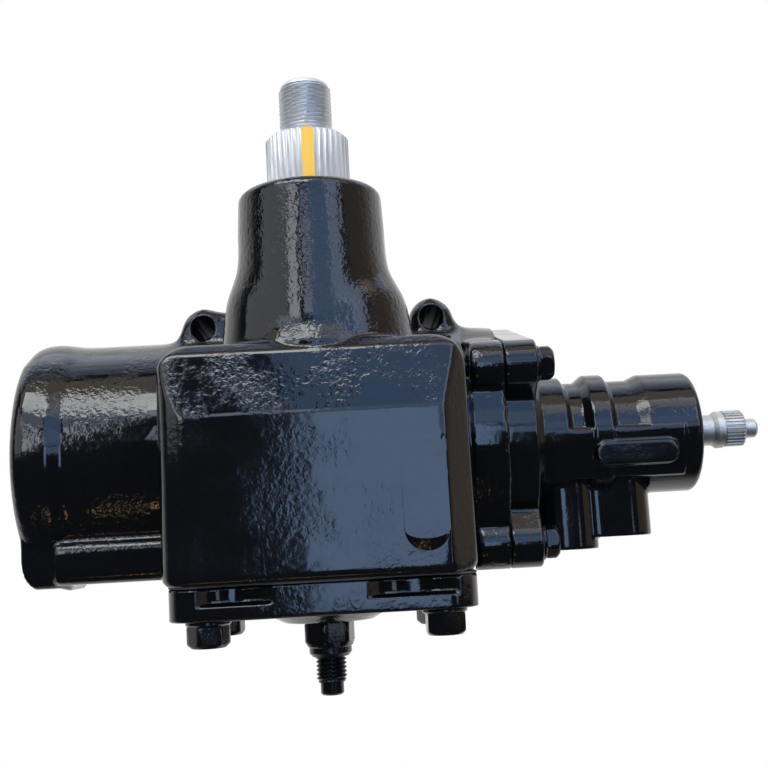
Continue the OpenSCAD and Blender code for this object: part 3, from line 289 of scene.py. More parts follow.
def cast_skin(node, kept, voxel, rounds, seed, most_triangles):
    """A casting with softened edges and a sand-cast skin. The points that are kept stay true."""
    piece = new_piece(node + "_casting", mesh_copy(node))
    true_shape = BVHTree.FromPolygons(
        [v.co for v in piece.data.vertices], [p.vertices for p in piece.data.polygons]
    )
    remesh = piece.modifiers.new("remesh", "REMESH")
    remesh.mode = "VOXEL"
    remesh.voxel_size = voxel
    applied(piece)
    mesh = piece.data
    places = points_of(mesh)
    true = kept(*places.T)
    free = np.where(true, 0.0, 1.0)
    places = relaxed(mesh, places, free, rounds)
    # Broad faces return to the CAD shape, and only edges, which lie farther from it, stay round
    near_m, blend_rounds = 0.0004, 6
    found = [true_shape.find_nearest(Vector(p)) for p in places]
    away = np.array([f[3] for f in found])
    on_shape = np.where(true, 1.0, np.clip(1.5 - away / near_m, 0.0, 1.0))
    pull = relaxed(mesh, np.repeat(on_shape[:, None], 3, axis=1), free, blend_rounds)
    places += pull * (np.array([f[0] for f in found]) - places)
    move_points(mesh, places)
    # Low waves of the sand mould
    wave_m, wave_height = 0.022, 0.00005
    normals = np.empty(len(places) * 3)
    mesh.vertex_normals.foreach_get("vector", normals)
    waves = np.array([noise.noise(Vector(p) / wave_m + seed) for p in places])
    places += (free * wave_height * waves)[:, None] * normals.reshape(-1, 3)
    move_points(mesh, places)
    # Fewer triangles, taken first from the machined faces, which are plain
    group = piece.vertex_groups.new(name="machined")
    group.add(np.flatnonzero(true).tolist(), 1.0, "REPLACE")
    thin = piece.modifiers.new("thin", "DECIMATE")
    thin.ratio = min(1.0, most_triangles / (2 * len(mesh.polygons)))
    thin.vertex_group = "machined"
    thin.vertex_group_factor = 5.0
    thin.use_collapse_triangulate = True
    applied(piece)
    piece.vertex_groups.clear()
    low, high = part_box(node)
    move_points(piece.data, np.clip(points_of(piece.data), np.array(low), np.array(high)))
    piece.data.shade_smooth()
    return piece


# Where the main casting is machined, and how far the edge round each machined form reaches
main_low, main_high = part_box("main_housing")
joint_x = main_high[0]
face_edge = 0.0003
cover_face_z = -0.0543
frame_face_y = -0.0035
cylinder_bore_r, cylinder_edge_r = 0.0433, 0.0462
sector_bore_r, sector_edge_r = 0.0333, 0.0345
sector_bore_top, sector_edge_top = 0.0262, 0.0275
tower_bore_r, tower_edge_r = 0.0245, 0.0268
frame_bolts = next(m["dims"] for m in frame["record"]["mounts"] if m["name"] == "frame_bolts")
hole_x, hole_z = frame_bolts["spacing_x_mm"] / 2000, frame_bolts["spacing_y_mm"] / 2000
hole_r, hole_edge_r = 0.0053, 0.0064
upper_hole_end, lower_hole_end, hole_edge_end = -0.080, -0.060, -0.081


def main_distances(x, y, z):
    """Distances from the worm's axis, the sector's axis and the nearest frame hole's axis."""
    from_hole = np.hypot(np.abs(x) - hole_x, np.abs(z) - hole_z)
    return np.hypot(y - worm_y, z), np.hypot(x, y - sector_y), from_hole


def main_bored(x, y, z):
    """Walls of the main casting's bores and of its tapped frame holes."""
    from_worm, from_sector, from_hole = main_distances(x, y, z)
    hole_end = np.where(z > 0, upper_hole_end, lower_hole_end)
    return (
        ((from_worm < cylinder_bore_r) & (from_sector > sector_bore_r))
        | ((from_sector < sector_bore_r) & (z < sector_bore_top))
        | (from_sector < tower_bore_r)
        | ((from_hole < hole_r) & (y > hole_end))
    )


def main_kept(x, y, z):
    """Bores, joint faces and frame holes of the main casting, each with the edge round it."""
    from_worm, from_sector, from_hole = main_distances(x, y, z)
    return (
        ((from_worm < cylinder_edge_r) & (from_sector > sector_edge_r))
        | ((from_sector < sector_edge_r) & (z < sector_edge_top))
        | (from_sector < tower_edge_r)
        | (z < cover_face_z)
        | (x > joint_x - face_edge)
        | (y > frame_face_y)
        | ((from_hole < hole_edge_r) & (y > hole_edge_end))
    )


# Black enamel, sprayed thickly over the sand-cast skin: it runs level on upright faces. On slopes,
# rounds and the tower the grain of the sand shows through it in patches.
def enamel(name, grain_m, grain_height, upright, rough):
    """Gloss enamel on a grain of given size and height, with the grain's share on upright faces."""
    patch_m = 0.024
    wave_m, wave_height = 0.008, 0.00006
    tower_from, tower_to, tower_share = 0.046, 0.056, 0.6
    material, tree, out = new_material(name)
    seat = add_node(tree, "ShaderNodeTexCoord")
    place = seat.outputs["Object"]
    facing = add_node(tree, "ShaderNodeSeparateXYZ", links={0: seat.outputs["Normal"]})
    tilt = add_node(tree, "ShaderNodeMath", links={0: facing.outputs["Z"]}, operation="ABSOLUTE")
    sloped = add_node(
        tree,
        "ShaderNodeMapRange",
        {"From Min": 0.05, "From Max": 0.2, "To Min": upright, "To Max": 1.0},
        {"Value": tilt.outputs[0]},
    )
    height = add_node(tree, "ShaderNodeSeparateXYZ", links={0: place})
    on_tower = add_node(
        tree,
        "ShaderNodeMapRange",
        {"From Min": tower_from, "From Max": tower_to, "To Min": 0.0, "To Max": tower_share},
        {"Value": height.outputs["Z"]},
    )
    patches = add_node(
        tree,
        "ShaderNodeTexNoise",
        {"Scale": 1 / patch_m, "Detail": 4.0, "Roughness": 0.62},
        {"Vector": place},
    )
    patch = add_node(
        tree,
        "ShaderNodeMapRange",
        {"From Min": 0.43, "From Max": 0.58, "To Min": 0.05, "To Max": 1.0},
        {"Value": patches.outputs["Fac"]},
    )
    share = add_node(
        tree,
        "ShaderNodeMath",
        links={0: patch.outputs[0], 1: sloped.outputs[0]},
        operation="MULTIPLY",
    )
    shown = add_node(
        tree,
        "ShaderNodeMath",
        links={0: share.outputs[0], 1: on_tower.outputs[0]},
        operation="MAXIMUM",
    )
    waves = add_node(
        tree,
        "ShaderNodeTexNoise",
        {"Scale": 1 / wave_m, "Detail": 1.0, "Distortion": 0.6},
        {"Vector": place},
    )
    grain = add_node(
        tree,
        "ShaderNodeTexNoise",
        {"Scale": 1 / grain_m, "Detail": 2.0, "Roughness": 0.55, "Distortion": 0.4},
        {"Vector": place},
    )
    waved = add_node(
        tree,
        "ShaderNodeBump",
        {"Strength": 1.0, "Distance": wave_height},
        {"Height": waves.outputs["Fac"]},
    )
    grained = add_node(
        tree,
        "ShaderNodeBump",
        {"Distance": grain_height},
        {"Height": grain.outputs["Fac"], "Strength": shown.outputs[0], "Normal": waved.outputs[0]},
    )
    gloss = add_node(
        tree,
        "ShaderNodeMapRange",
        {"From Min": 0.35, "From Max": 0.7, "To Min": rough, "To Max": rough + 0.08},
        {"Value": patches.outputs["Fac"]},
    )
    paint = add_node(
        tree,
        "ShaderNodeBsdfPrincipled",
        {"Base Color": linear("#060709"), "IOR": 1.5},
        {"Roughness": gloss.outputs[0], "Normal": grained.outputs[0]},
    )
    tree.links.new(paint.outputs[0], out.inputs["Surface"])
    return material


# Bare grey iron, where a casting was bored and tapped: dull, and dark with oil.
bare_iron, tree, out = new_material("oily_bored_iron")
place = add_node(tree, "ShaderNodeTexCoord").outputs["Object"]
oil_m = 0.002
oil = add_node(tree, "ShaderNodeTexNoise", {"Scale": 1 / oil_m, "Detail": 3.0}, {"Vector": place})
dull = add_node(
    tree, "ShaderNodeMapRange", {"To Min": 0.45, "To Max": 0.7}, {"Value": oil.outputs["Fac"]}
)
iron = add_node(
    tree,
    "ShaderNodeBsdfPrincipled",
    {"Base Color": linear("#3C3D40"), "Metallic": 1.0},
    {"Roughness": dull.outputs[0]},
)
tree.links.new(iron.outputs[0], out.inputs["Surface"])


def painted(piece, coat, bored):
    """Enamels a casting and leaves the walls of its bores bare."""
    piece.data.materials.append(coat)
    piece.data.materials.append(bare_iron)
    middles = np.empty(len(piece.data.polygons) * 3)
    piece.data.polygons.foreach_get("center", middles)
    bare = bored(*middles.reshape(-1, 3).T)
    piece.data.polygons.foreach_set("material_index", bare.astype(np.int32))


main_casting = cast_skin(
    "main_housing",
    main_kept,
    voxel=0.0012,
    rounds=10,
    seed=Vector((3.1, 7.7, 1.9)),
    most_triangles=190000,
)
# The tower's foot flows into the block, whose front face stays flat
foot_low, foot_fade_in, foot_high, foot_fade_out = 0.040, 0.004, 0.086, 0.006
foot_rounds = 40
front_y = sector_y - 0.042
places = points_of(main_casting.data)
height = places[:, 2]
foot = np.clip((height - foot_low) / foot_fade_in, 0, 1)
foot *= np.clip((foot_high - height) / foot_fade_out, 0, 1)
foot[main_kept(*places.T)] = 0.0
places = relaxed(main_casting.data, places, foot, foot_rounds)
places[:, 1] = np.maximum(places[:, 1], front_y)
# The lug under the cylinder's rim has a rounded lower corner
lug_inset, lug_foot_z = 0.0015, -0.0553
lug_corner = np.array([main_low[0] + lug_inset, lug_foot_z])
lug_round = np.array([0.008, 0.016])
reach = np.maximum((lug_corner + lug_round - places[:, [0, 2]]) / lug_round, 0.0)
beyond = np.maximum(np.hypot(*reach.T), 1.0)[:, None]
outside_bore = np.hypot(places[:, 1] - worm_y, places[:, 2]) > cylinder_edge_r
on_lug = (reach.min(axis=1) > 0) & outside_bore
rounded_off = lug_corner + lug_round - lug_round * reach / beyond
places[np.ix_(on_lug, [0, 2])] = rounded_off[on_lug]
move_points(main_casting.data, places)
cast_enamel = enamel(
    "black_enamel_on_cast_iron", grain_m=0.0022, grain_height=0.00034, upright=0.25, rough=0.06
)
painted(main_casting, cast_enamel, main_bored)
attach(main_casting, "housing")
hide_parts("main_housing")

# Finger on the block's front face, beside its right edge: a wedge that starts flush and comes
# forward to a rounded foot, where it falls back in a crescent.
finger_x, finger_r = 0.039, 0.0085
finger_top, finger_turn, finger_tip = -0.002, -0.038, -0.0415
proud = front_y - main_low[1]
sunk_y = front_y + 0.0002
round_foot = np.linspace(0, math.pi, 17)
across = finger_x - finger_r * np.cos(round_foot)
low_edge = finger_turn - finger_r * np.sin(round_foot)
nose = finger_turn + (finger_tip - finger_turn) * np.sin(round_foot)
forward = front_y - proud * (nose - finger_top) / (finger_tip - finger_top)
work = bmesh.new()
foot_points = [work.verts.new((x, sunk_y, z)) for x, z in zip(across, low_edge)]
nose_points = [work.verts.new(p) for p in zip(across, forward, nose)]
top_points = [work.verts.new((x, sunk_y, finger_top)) for x in (across[0], across[-1])]
work.faces.new([top_points[0], *nose_points, top_points[1]])
work.faces.new([top_points[1], *reversed(foot_points), top_points[0]])
work.faces.new([top_points[0], foot_points[0], nose_points[0]])
work.faces.new([top_points[1], nose_points[-1], foot_points[-1]])
for i in range(len(across) - 1):
    work.faces.new([nose_points[i], foot_points[i], foot_points[i + 1], nose_points[i + 1]])
bmesh.ops.recalc_face_normals(work, faces=work.faces)
finger = new_piece("front_finger", bpy.data.meshes.new("front_finger"))
work.to_mesh(finger.data)
work.free()
finger.data.shade_smooth()
finger.data.set_sharp_from_angle(angle=math.radians(8))
finger.data.materials.append(cast_enamel)
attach(finger, "housing")

# Valve housing: a second iron casting, bored for the valve sleeve, with two port bosses below it.
# Its joint face, bores and tapped ports are machined.
port_top = -0.0255
valve_bore_r, sleeve_bore_r, sleeve_bore_end, valve_edge_r = 0.0162, 0.0203, 0.12, 0.0222


def in_ports(x, y, z, margin):
    """Whether points lie in the tapped ports, or up to a margin round them."""
    inside = np.zeros(len(x), dtype=bool)
    for mount in frame["record"]["mounts"]:
        if mount["kind"] == "threaded_hole":
            from_port = np.hypot(x - mount["pos_m"][0], y - mount["pos_m"][1])
            inside |= (z < port_top) & (from_port < mount["dims"]["r_mm"] / 1000 + margin)
    return inside


def valve_bored(x, y, z):
    """Walls of the valve housing's bores and tapped ports."""
    from_worm = np.hypot(y - worm_y, z)
    in_sleeve_bore = (from_worm < sleeve_bore_r) & (x < sleeve_bore_end)
    return (from_worm < valve_bore_r) | in_sleeve_bore | in_ports(x, y, z, margin=0.0002)


def valve_kept(x, y, z):
    """Bores, joint face and tapped ports of the valve housing, each with the edge round it."""
    from_worm = np.hypot(y - worm_y, z)
    on_face = x < joint_x + face_edge
    return (from_worm < valve_edge_r) | on_face | in_ports(x, y, z, margin=0.001)


valve_casting = cast_skin(
    "valve_housing",
    valve_kept,
    voxel=0.0008,
    rounds=7,
    seed=Vector((5.3, 2.2, 8.4)),
    most_triangles=150000,
)
valve_enamel = enamel(
    "black_enamel_on_valve_housing", grain_m=0.0016, grain_height=0.00013, upright=0.3, rough=0.06
)
painted(valve_casting, valve_enamel, valve_bored)
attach(valve_casting, "housing")
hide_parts("valve_housing")

# Side cover: a casting under the block, with bosses for its four bolts, pockets between them and a
# hub for the lash adjuster. Its upper face and bore are machined.
adjuster_hole_r, bushing_bore_r = 0.0066, 0.0175
bushing_floor_z, cover_top_z = -0.0652, -0.0554


def cover_kept(x, y, z):
    """Upper face and bores of the side cover."""
    from_sector = np.hypot(x, y - sector_y)
    in_bushing_bore = (from_sector < bushing_bore_r) & (z > bushing_floor_z)
    return (from_sector < adjuster_hole_r) | in_bushing_bore | (z > cover_top_z)


cover_casting = cast_skin(
    "sector_cover",
    cover_kept,
    voxel=0.0008,
    rounds=5,
    seed=Vector((9.6, 4.1, 0.7)),
    most_triangles=100000,
)
cover_casting.data.materials.append(cast_enamel)
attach(cover_casting, "housing")
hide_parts("sector_cover")

# Flanged bolts: four hold the valve housing and four larger ones the side cover. They were painted
# with the housing, so the paint rounds the corners of their heads.
crease = math.radians(34)


def wrapped(name, rows, steps):
    """A closed mesh round the Z axis from rows of heights and radii, capped at both ends."""
    work = bmesh.new()
    rings = []
    for height, radius in rows:
        ring = []
        for i in range(steps):
            angle = 2 * math.pi * i / steps
            reach = radius(angle) if callable(radius) else radius
            ring.append(work.verts.new((reach * math.cos(angle), reach * math.sin(angle), height)))
        rings.append(ring)
    for low, high in zip(rings, rings[1:]):
        for i in range(steps):
            k = (i + 1) % steps
            work.faces.new((low[i], low[k], high[k], high[i]))
    work.faces.new(list(reversed(rings[0])))
    work.faces.new(rings[-1])
    mesh = bpy.data.meshes.new(name)
    work.to_mesh(mesh)
    work.free()
    return mesh


def six_sided(flats, limit):
    """Radius of a hexagon at an angle, cut back to a limit where its corners are chamfered."""
    return lambda angle: min(flats / 2 / math.cos(angle % (math.pi / 3) - math.pi / 6), limit)


def bolt_mesh(name, shank_r, shank_len, flats, head_h):
    """A flanged hexagon bolt: head from zero up, shank below."""
    collar_r, collar_h = 0.6 * flats, 0.002
    corner = flats / math.sqrt(3)
    rows = [
        (-shank_len, shank_r - 0.0008),
        (-shank_len + 0.0008, shank_r),
        (-0.0001, shank_r),
        (0.0, collar_r - 0.0003),
        (0.0004, collar_r),
        (collar_h - 0.0008, collar_r),
        (collar_h - 0.0002, collar_r - 0.0006),
        (collar_h, six_sided(flats, corner - 0.0002)),
        (collar_h + 0.0005, six_sided(flats, corner - 0.0001)),
        (head_h - 0.0019, six_sided(flats, corner - 0.0001)),
        (head_h - 0.0012, six_sided(flats, corner - 0.0005)),
        (head_h - 0.0006, six_sided(flats, flats / 2 - 0.0001)),
        (head_h - 0.0001, flats / 2 - 0.0006),
        (head_h, flats / 2 - 0.0012),
        (head_h - 0.0002, 0.6 * flats / 2),
    ]
    return wrapped(name, rows, steps=60)


def instanced(name, mesh, places, material):
    """Copies of one mesh at given matrices, made by Geometry Nodes and then one plain mesh."""
    points = bpy.data.meshes.new(name + "_points")
    points.from_pydata([m.translation for m in places], [], [])
    turns = points.attributes.new("turn", "QUATERNION", "POINT")
    turns.data.foreach_set("value", [c for m in places for c in m.to_quaternion()])
    single = new_piece(name + "_single", mesh)
    piece = new_piece(name, points)
    group = bpy.data.node_groups.new(name + "_copies", "GeometryNodeTree")
    new_socket = group.interface.new_socket
    new_socket("Points", in_out="INPUT", socket_type="NodeSocketGeometry")
    copied = new_socket("Copied piece", in_out="INPUT", socket_type="NodeSocketObject")
    finish = new_socket("Finish", in_out="INPUT", socket_type="NodeSocketMaterial")
    new_socket("Copies", in_out="OUTPUT", socket_type="NodeSocketGeometry")
    inside = add_node(group, "NodeGroupInput")
    source = add_node(
        group, "GeometryNodeObjectInfo", links={"Object": inside.outputs["Copied piece"]}
    )
    turn = add_node(
        group, "GeometryNodeInputNamedAttribute", {"Name": "turn"}, data_type="QUATERNION"
    )
    copies = add_node(
        group,
        "GeometryNodeInstanceOnPoints",
        links={
            "Points": inside.outputs["Points"],
            "Instance": source.outputs["Geometry"],
            "Rotation": turn.outputs["Attribute"],
        },
    )
    real = add_node(group, "GeometryNodeRealizeInstances", links={0: copies.outputs[0]})
    coloured = add_node(
        group,
        "GeometryNodeSetMaterial",
        links={"Geometry": real.outputs[0], "Material": inside.outputs["Finish"]},
    )
    add_node(group, "NodeGroupOutput", links={"Copies": coloured.outputs[0]})
    modifier = piece.modifiers.new("copies", "NODES")
    modifier.node_group = group
    modifier[copied.identifier] = single
    modifier[finish.identifier] = material
    applied(piece)
    bpy.data.objects.remove(single)
    piece.data.set_sharp_from_angle(angle=crease)
    return piece


bolt_enamel = enamel(
    "black_enamel_on_bolts", grain_m=0.0010, grain_height=0.00008, upright=1.0, rough=0.12
)
valve_head_h = 0.0075
valve_seat_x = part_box("valve_housing_bolts")[1][0] - valve_head_h
bolt_circle_r, first_bolt = 0.054, 58.5
along_x = Matrix.Rotation(math.radians(90), 4, "Y")
valve_bolt_places = []
for k in range(4):
    angle = math.radians(first_bolt + 90 * k)
    aside, up = bolt_circle_r * math.sin(angle), -bolt_circle_r * math.cos(angle)
    middle = Vector((valve_seat_x, worm_y + aside, up))
    tightened = Matrix.Rotation(math.radians(14 + 31 * k), 4, "X")
    valve_bolt_places.append(Matrix.Translation(middle) @ (tightened @ along_x))
valve_bolt = bolt_mesh(
    "valve_bolt", shank_r=0.004, shank_len=0.0255, flats=0.0127, head_h=valve_head_h
)
valve_bolts = instanced("valve_housing_bolt_set", valve_bolt, valve_bolt_places, bolt_enamel)
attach(valve_bolts, "housing")
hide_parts("valve_housing_bolts")

cover_head_h = 0.010
cover_seat_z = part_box("cover_bolts")[0][2] + cover_head_h
cover_bolt_x, cover_bolt_y = 0.0445, 0.028
head_down = Matrix.Rotation(math.pi, 4, "X")
cover_bolt_places = []
for k, (x, y) in enumerate(((-1, -1), (1, -1), (1, 1), (-1, 1))):
    middle = Vector((x * cover_bolt_x, sector_y + y * cover_bolt_y, cover_seat_z))
    tightened = Matrix.Rotation(math.radians(11 + 23 * k), 4, "Z")
    cover_bolt_places.append(Matrix.Translation(middle) @ (tightened @ head_down))
cover_bolt = bolt_mesh(
    "cover_bolt", shank_r=0.0047, shank_len=0.0237, flats=0.0143, head_h=cover_head_h
)
cover_bolts = instanced("cover_bolt_set", cover_bolt, cover_bolt_places, bolt_enamel)
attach(cover_bolts, "housing")
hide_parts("cover_bolts")


# Lash adjuster: a threaded stud with a plain pilot tip, held by a locknut with a round collar. Its
# hooked head sits in the sector shaft's end.
def thread_rows(low, high, radius, pitch, depth):
    """Rows of a right-hand thread between two heights, with its crests faded out at both ends."""

    def reach(height):
        fade = min(1.0, (height - low) / pitch, (high - height) / pitch)

        def at(angle):
            share = (height / pitch - angle / (2 * math.pi)) % 1.0
            flank = min(1.0, max(0.0, 2.4 * abs(share - 0.5) - 0.1))
            return radius - depth * (1.0 - fade * (1.0 - flank))

        return at

    rows_per_turn = 10
    count = max(2, round((high - low) / pitch * rows_per_turn))
    heights = [low + (high - low) * i / count for i in range(count + 1)]
    return [(height, reach(height)) for height in heights]


stud_low, stud_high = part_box("adjuster_screw")[0][2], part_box("adjuster_screw")[1][2]
thread_low = stud_low + 0.0047
hook_low = stud_high - 0.003
thread_high = hook_low - 0.012
tip_r, neck_r, hook_r = 0.00465, 0.0060, 0.00775
stud_rows = [
    (stud_low, 0.0039),
    (stud_low + 0.0007, tip_r),
    (thread_low, tip_r),
    *thread_rows(thread_low + 0.0002, thread_high, radius=0.00615, pitch=0.0016, depth=0.00085),
    (hook_low - 0.0118, neck_r),
    (hook_low, neck_r),
    (hook_low + 0.00001, 0.0075),
    (hook_low + 0.0003, hook_r),
    (stud_high - 0.0003, hook_r),
    (stud_high, 0.0074),
]
stud = new_piece("adjuster_stud", wrapped("adjuster_stud", stud_rows, steps=48))
stud.data.transform(Matrix.Translation((0, sector_y, 0)))
stud.data.materials.append(bolt_enamel)
stud.data.set_sharp_from_angle(angle=crease)
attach(stud, "housing")
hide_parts("adjuster_screw")

nut_low, nut_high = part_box("adjuster_locknut")[0][2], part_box("adjuster_locknut")[1][2]
collar_top = nut_low + 0.005
nut_flats = 0.018
nut_corner = nut_flats / math.sqrt(3)
nut_bore_r, collar_r = 0.0066, 0.0085
nut_rows = [
    (nut_low, nut_bore_r),
    (nut_low, 0.0073),
    (nut_low + 0.0015, collar_r),
    (collar_top - 0.0014, collar_r),
    (collar_top - 0.0008, six_sided(nut_flats, nut_flats / 2 + 0.0001)),
    (collar_top + 0.0004, six_sided(nut_flats, nut_corner - 0.0006)),
    (collar_top + 0.0011, six_sided(nut_flats, nut_corner - 0.0001)),
    (nut_high - 0.0012, six_sided(nut_flats, nut_corner - 0.0001)),
    (nut_high - 0.0004, six_sided(nut_flats, nut_corner - 0.0007)),
    (nut_high, six_sided(nut_flats, nut_flats / 2 - 0.0001)),
    (nut_high, nut_bore_r),
]
nut_turn = Matrix.Rotation(math.radians(17), 4, "Z")
nut = new_piece("adjuster_nut", wrapped("adjuster_nut", nut_rows, steps=72))
nut.data.transform(Matrix.Translation((0, sector_y, 0)) @ nut_turn)
nut.data.materials.append(bolt_enamel)
nut.data.set_sharp_from_angle(angle=crease)
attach(nut, "housing")
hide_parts("adjuster_locknut")


# Sector shaft: forged steel, ground on its journals. Its upper end is serrated for the pitman arm,
# with a yellow paint mark down the master tooth, and ends in a thread for the arm's nut.
def bare_steel(name, colour, axis, line_m, rough, stripe=None):
    """Bare steel with fine tool lines round an axis, and on request a yellow paint mark."""
    round_m, stain_m, line_height = 0.02, 0.004, 0.00002
    wobble_angle, soft_angle = 0.05, 0.008
    material, tree, out = new_material(name)
    place = add_node(tree, "ShaderNodeTexCoord").outputs["Object"]
    squeeze = [1 / round_m] * 3
    squeeze["XYZ".index(axis)] = 1 / line_m
    lines_at = add_node(
        tree, "ShaderNodeVectorMath", {1: squeeze}, {0: place}, operation="MULTIPLY"
    )
    lines = add_node(
        tree, "ShaderNodeTexNoise", {"Scale": 1.0, "Detail": 2.0}, {"Vector": lines_at.outputs[0]}
    )
    stains = add_node(
        tree,
        "ShaderNodeTexNoise",
        {"Scale": 1 / stain_m, "Detail": 4.0, "Roughness": 0.6},
        {"Vector": place},
    )
    ridge = add_node(
        tree,
        "ShaderNodeBump",
        {"Strength": 0.5, "Distance": line_height},
        {"Height": lines.outputs["Fac"]},
    )
    dull = add_node(
        tree,
        "ShaderNodeMapRange",
        {"From Min": 0.3, "From Max": 0.7, "To Min": rough - 0.05, "To Max": rough + 0.12},
        {"Value": stains.outputs["Fac"]},
    )
    steel = add_node(
        tree,
        "ShaderNodeBsdfPrincipled",
        {"Base Color": linear(colour), "Metallic": 1.0},
        {"Roughness": dull.outputs[0], "Normal": ridge.outputs[0]},
    )
    if stripe is None:
        tree.links.new(steel.outputs[0], out.inputs["Surface"])
        return material
    middle, half_wide, low = stripe
    from_axis = add_node(
        tree, "ShaderNodeVectorMath", {1: (0, sector_y, 0)}, {0: place}, operation="SUBTRACT"
    )
    parts = add_node(tree, "ShaderNodeSeparateXYZ", links={0: from_axis.outputs[0]})
    angle = add_node(
        tree,
        "ShaderNodeMath",
        links={0: parts.outputs["Y"], 1: parts.outputs["X"]},
        operation="ARCTAN2",
    )
    wobble = add_node(
        tree,
        "ShaderNodeMapRange",
        {"To Min": -middle - wobble_angle, "To Max": -middle + wobble_angle},
        {"Value": stains.outputs["Fac"]},
    )
    shifted = add_node(tree, "ShaderNodeMath", links={0: angle.outputs[0], 1: wobble.outputs[0]})
    off = add_node(tree, "ShaderNodeMath", links={0: shifted.outputs[0]}, operation="ABSOLUTE")
    near = add_node(
        tree,
        "ShaderNodeMapRange",
        {
            "From Min": half_wide - soft_angle,
            "From Max": half_wide + soft_angle,
            "To Min": 1.0,
            "To Max": 0.0,
        },
        {"Value": off.outputs[0]},
    )
    above = add_node(
        tree, "ShaderNodeMath", {1: low}, {0: parts.outputs["Z"]}, operation="GREATER_THAN"
    )
    marked = add_node(
        tree,
        "ShaderNodeMath",
        links={0: near.outputs[0], 1: above.outputs[0]},
        operation="MULTIPLY",
    )
    mark = add_node(
        tree,
        "ShaderNodeBsdfPrincipled",
        {"Base Color": linear("#CEA245"), "Roughness": 0.8, "Specular IOR Level": 0.2},
    )
    striped = add_node(
        tree,
        "ShaderNodeMixShader",
        links={0: marked.outputs[0], 1: steel.outputs[0], 2: mark.outputs[0]},
    )
    tree.links.new(striped.outputs[0], out.inputs["Surface"])
    return material


# The CAD shaft up to the foot of its plain thread, which a cut thread replaces
shaft_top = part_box("sector_shaft")[1][2]
thread_foot = shaft_top - 0.0216
shaft = new_piece("sector_shaft_body", mesh_copy("sector_shaft"))
work = bmesh.new()
work.from_mesh(shaft.data)
cut = bmesh.ops.bisect_plane(
    work,
    geom=work.verts[:] + work.edges[:] + work.faces[:],
    plane_co=(0, 0, thread_foot),
    plane_no=(0, 0, 1),
    clear_outer=True,
)
rim = [e for e in cut["geom_cut"] if isinstance(e, bmesh.types.BMEdge)]
bmesh.ops.holes_fill(work, edges=rim)
bmesh.ops.recalc_face_normals(work, faces=work.faces)
work.to_mesh(shaft.data)
work.free()
shaft.data.set_sharp_from_angle(angle=math.radians(28))
master_tooth, stripe_half, stripe_low = math.radians(-87.4), math.radians(8.4), 0.1
shaft_steel = bare_steel(
    "serrated_shaft_steel",
    "#CDD0D4",
    axis="Z",
    line_m=0.00025,
    rough=0.40,
    stripe=(master_tooth, stripe_half, stripe_low),
)
shaft.data.materials.append(shaft_steel)
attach(shaft, "sector")
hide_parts("sector_shaft")

end_rows = [
    (thread_foot - 0.0003, 0.0096),
    (thread_foot + 0.0003, 0.0098),
    *thread_rows(
        thread_foot + 0.0008, shaft_top - 0.0012, radius=0.01111, pitch=0.00181, depth=0.0011
    ),
    (shaft_top - 0.0008, 0.0099),
    (shaft_top, 0.0092),
]
thread_mesh = wrapped("sector_shaft_thread", end_rows, steps=72)
shaft_thread = new_piece("sector_shaft_thread", thread_mesh)
shaft_thread.data.transform(Matrix.Translation((0, sector_y, 0)))
shaft_thread.data.set_sharp_from_angle(angle=math.radians(50))
thread_steel = bare_steel("cut_thread_steel", "#D2D3D4", axis="Z", line_m=0.0004, rough=0.48)
shaft_thread.data.materials.append(thread_steel)
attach(shaft_thread, "sector")

# Pieces that keep their CAD shape: the input shaft, and what the castings hold inside, from
# bearings and seals to the rack piston and its balls. Each takes its own bare or moulded material.
turned_steel = bare_steel("turned_steel", "#C2C0BC", axis="X", line_m=0.0002, rough=0.50)
polished_steel = bare_steel(
    "polished_bearing_steel", "#C4C6C8", axis="X", line_m=0.0001, rough=0.16
)
oiled_steel = bare_steel("dull_oiled_steel", "#6C6E72", axis="X", line_m=0.0003, rough=0.42)


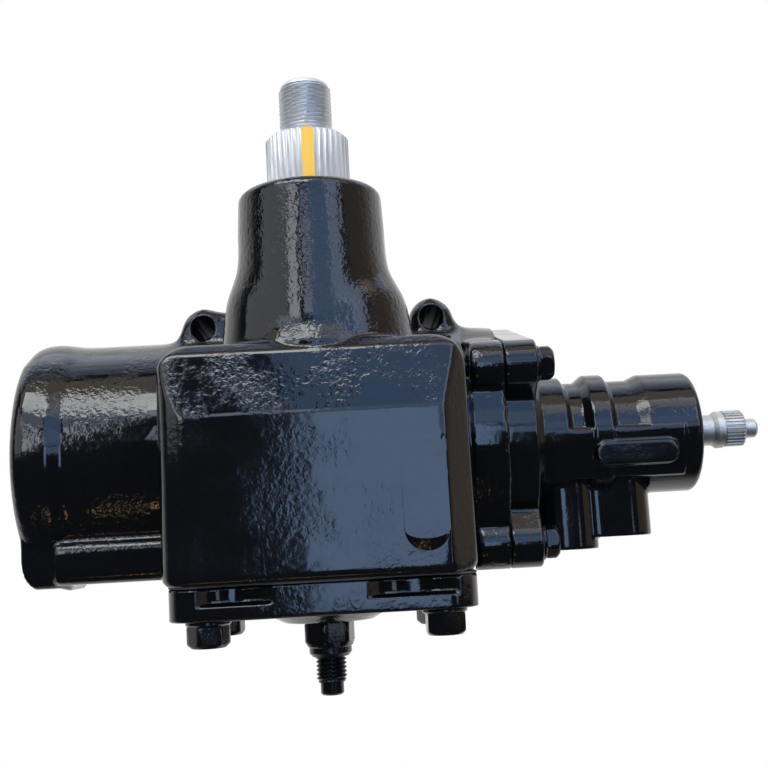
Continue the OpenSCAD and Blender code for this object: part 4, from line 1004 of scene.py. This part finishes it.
# Rubber, filled plastic and gasket fibre: matte, with the fine grain of the mould or the press.
def moulded(name, colour, rough, grain_m):
    """A matte moulded or pressed material with a fine grain."""
    material, tree, out = new_material(name)
    place = add_node(tree, "ShaderNodeTexCoord").outputs["Object"]
    grain = add_node(
        tree, "ShaderNodeTexNoise", {"Scale": 1 / grain_m, "Detail": 2.0}, {"Vector": place}
    )
    bump = add_node(
        tree,
        "ShaderNodeBump",
        {"Strength": 0.4, "Distance": grain_m / 10},
        {"Height": grain.outputs["Fac"]},
    )
    body = add_node(
        tree,
        "ShaderNodeBsdfPrincipled",
        {"Base Color": linear(colour), "Roughness": rough},
        {"Normal": bump.outputs[0]},
    )
    tree.links.new(body.outputs[0], out.inputs["Surface"])
    return material


# Cast bronze of the bushing: warm, and cloudy with oil.
bronze, tree, out = new_material("cast_bearing_bronze")
place = add_node(tree, "ShaderNodeTexCoord").outputs["Object"]
cloud_m = 0.003
cloud = add_node(
    tree, "ShaderNodeTexNoise", {"Scale": 1 / cloud_m, "Detail": 3.0}, {"Vector": place}
)
dull = add_node(
    tree, "ShaderNodeMapRange", {"To Min": 0.25, "To Max": 0.45}, {"Value": cloud.outputs["Fac"]}
)
metal = add_node(
    tree,
    "ShaderNodeBsdfPrincipled",
    {"Base Color": linear("#B08A4C"), "Metallic": 1.0},
    {"Roughness": dull.outputs[0]},
)
tree.links.new(metal.outputs[0], out.inputs["Surface"])
finish_of = {
    "black_paint": cast_enamel,
    "machined_steel": turned_steel,
    "bearing_steel": polished_steel,
    "plain_steel": oiled_steel,
    "seal_rubber": moulded("nitrile_rubber", "#1A1A1B", rough=0.5, grain_m=0.0006),
    "seal_plastic": moulded("filled_ptfe", "#A08762", rough=0.6, grain_m=0.0008),
    "gasket_fibre": moulded("pressed_gasket_fibre", "#3A3A3A", rough=0.8, grain_m=0.0005),
    "bearing_bronze": bronze,
}
for subpart in frame["record"]["subparts"]:
    piece = frame["nodes"][subpart["node"]]
    piece.data.materials.clear()
    piece.data.materials.append(finish_of[subpart["material_slot"]])
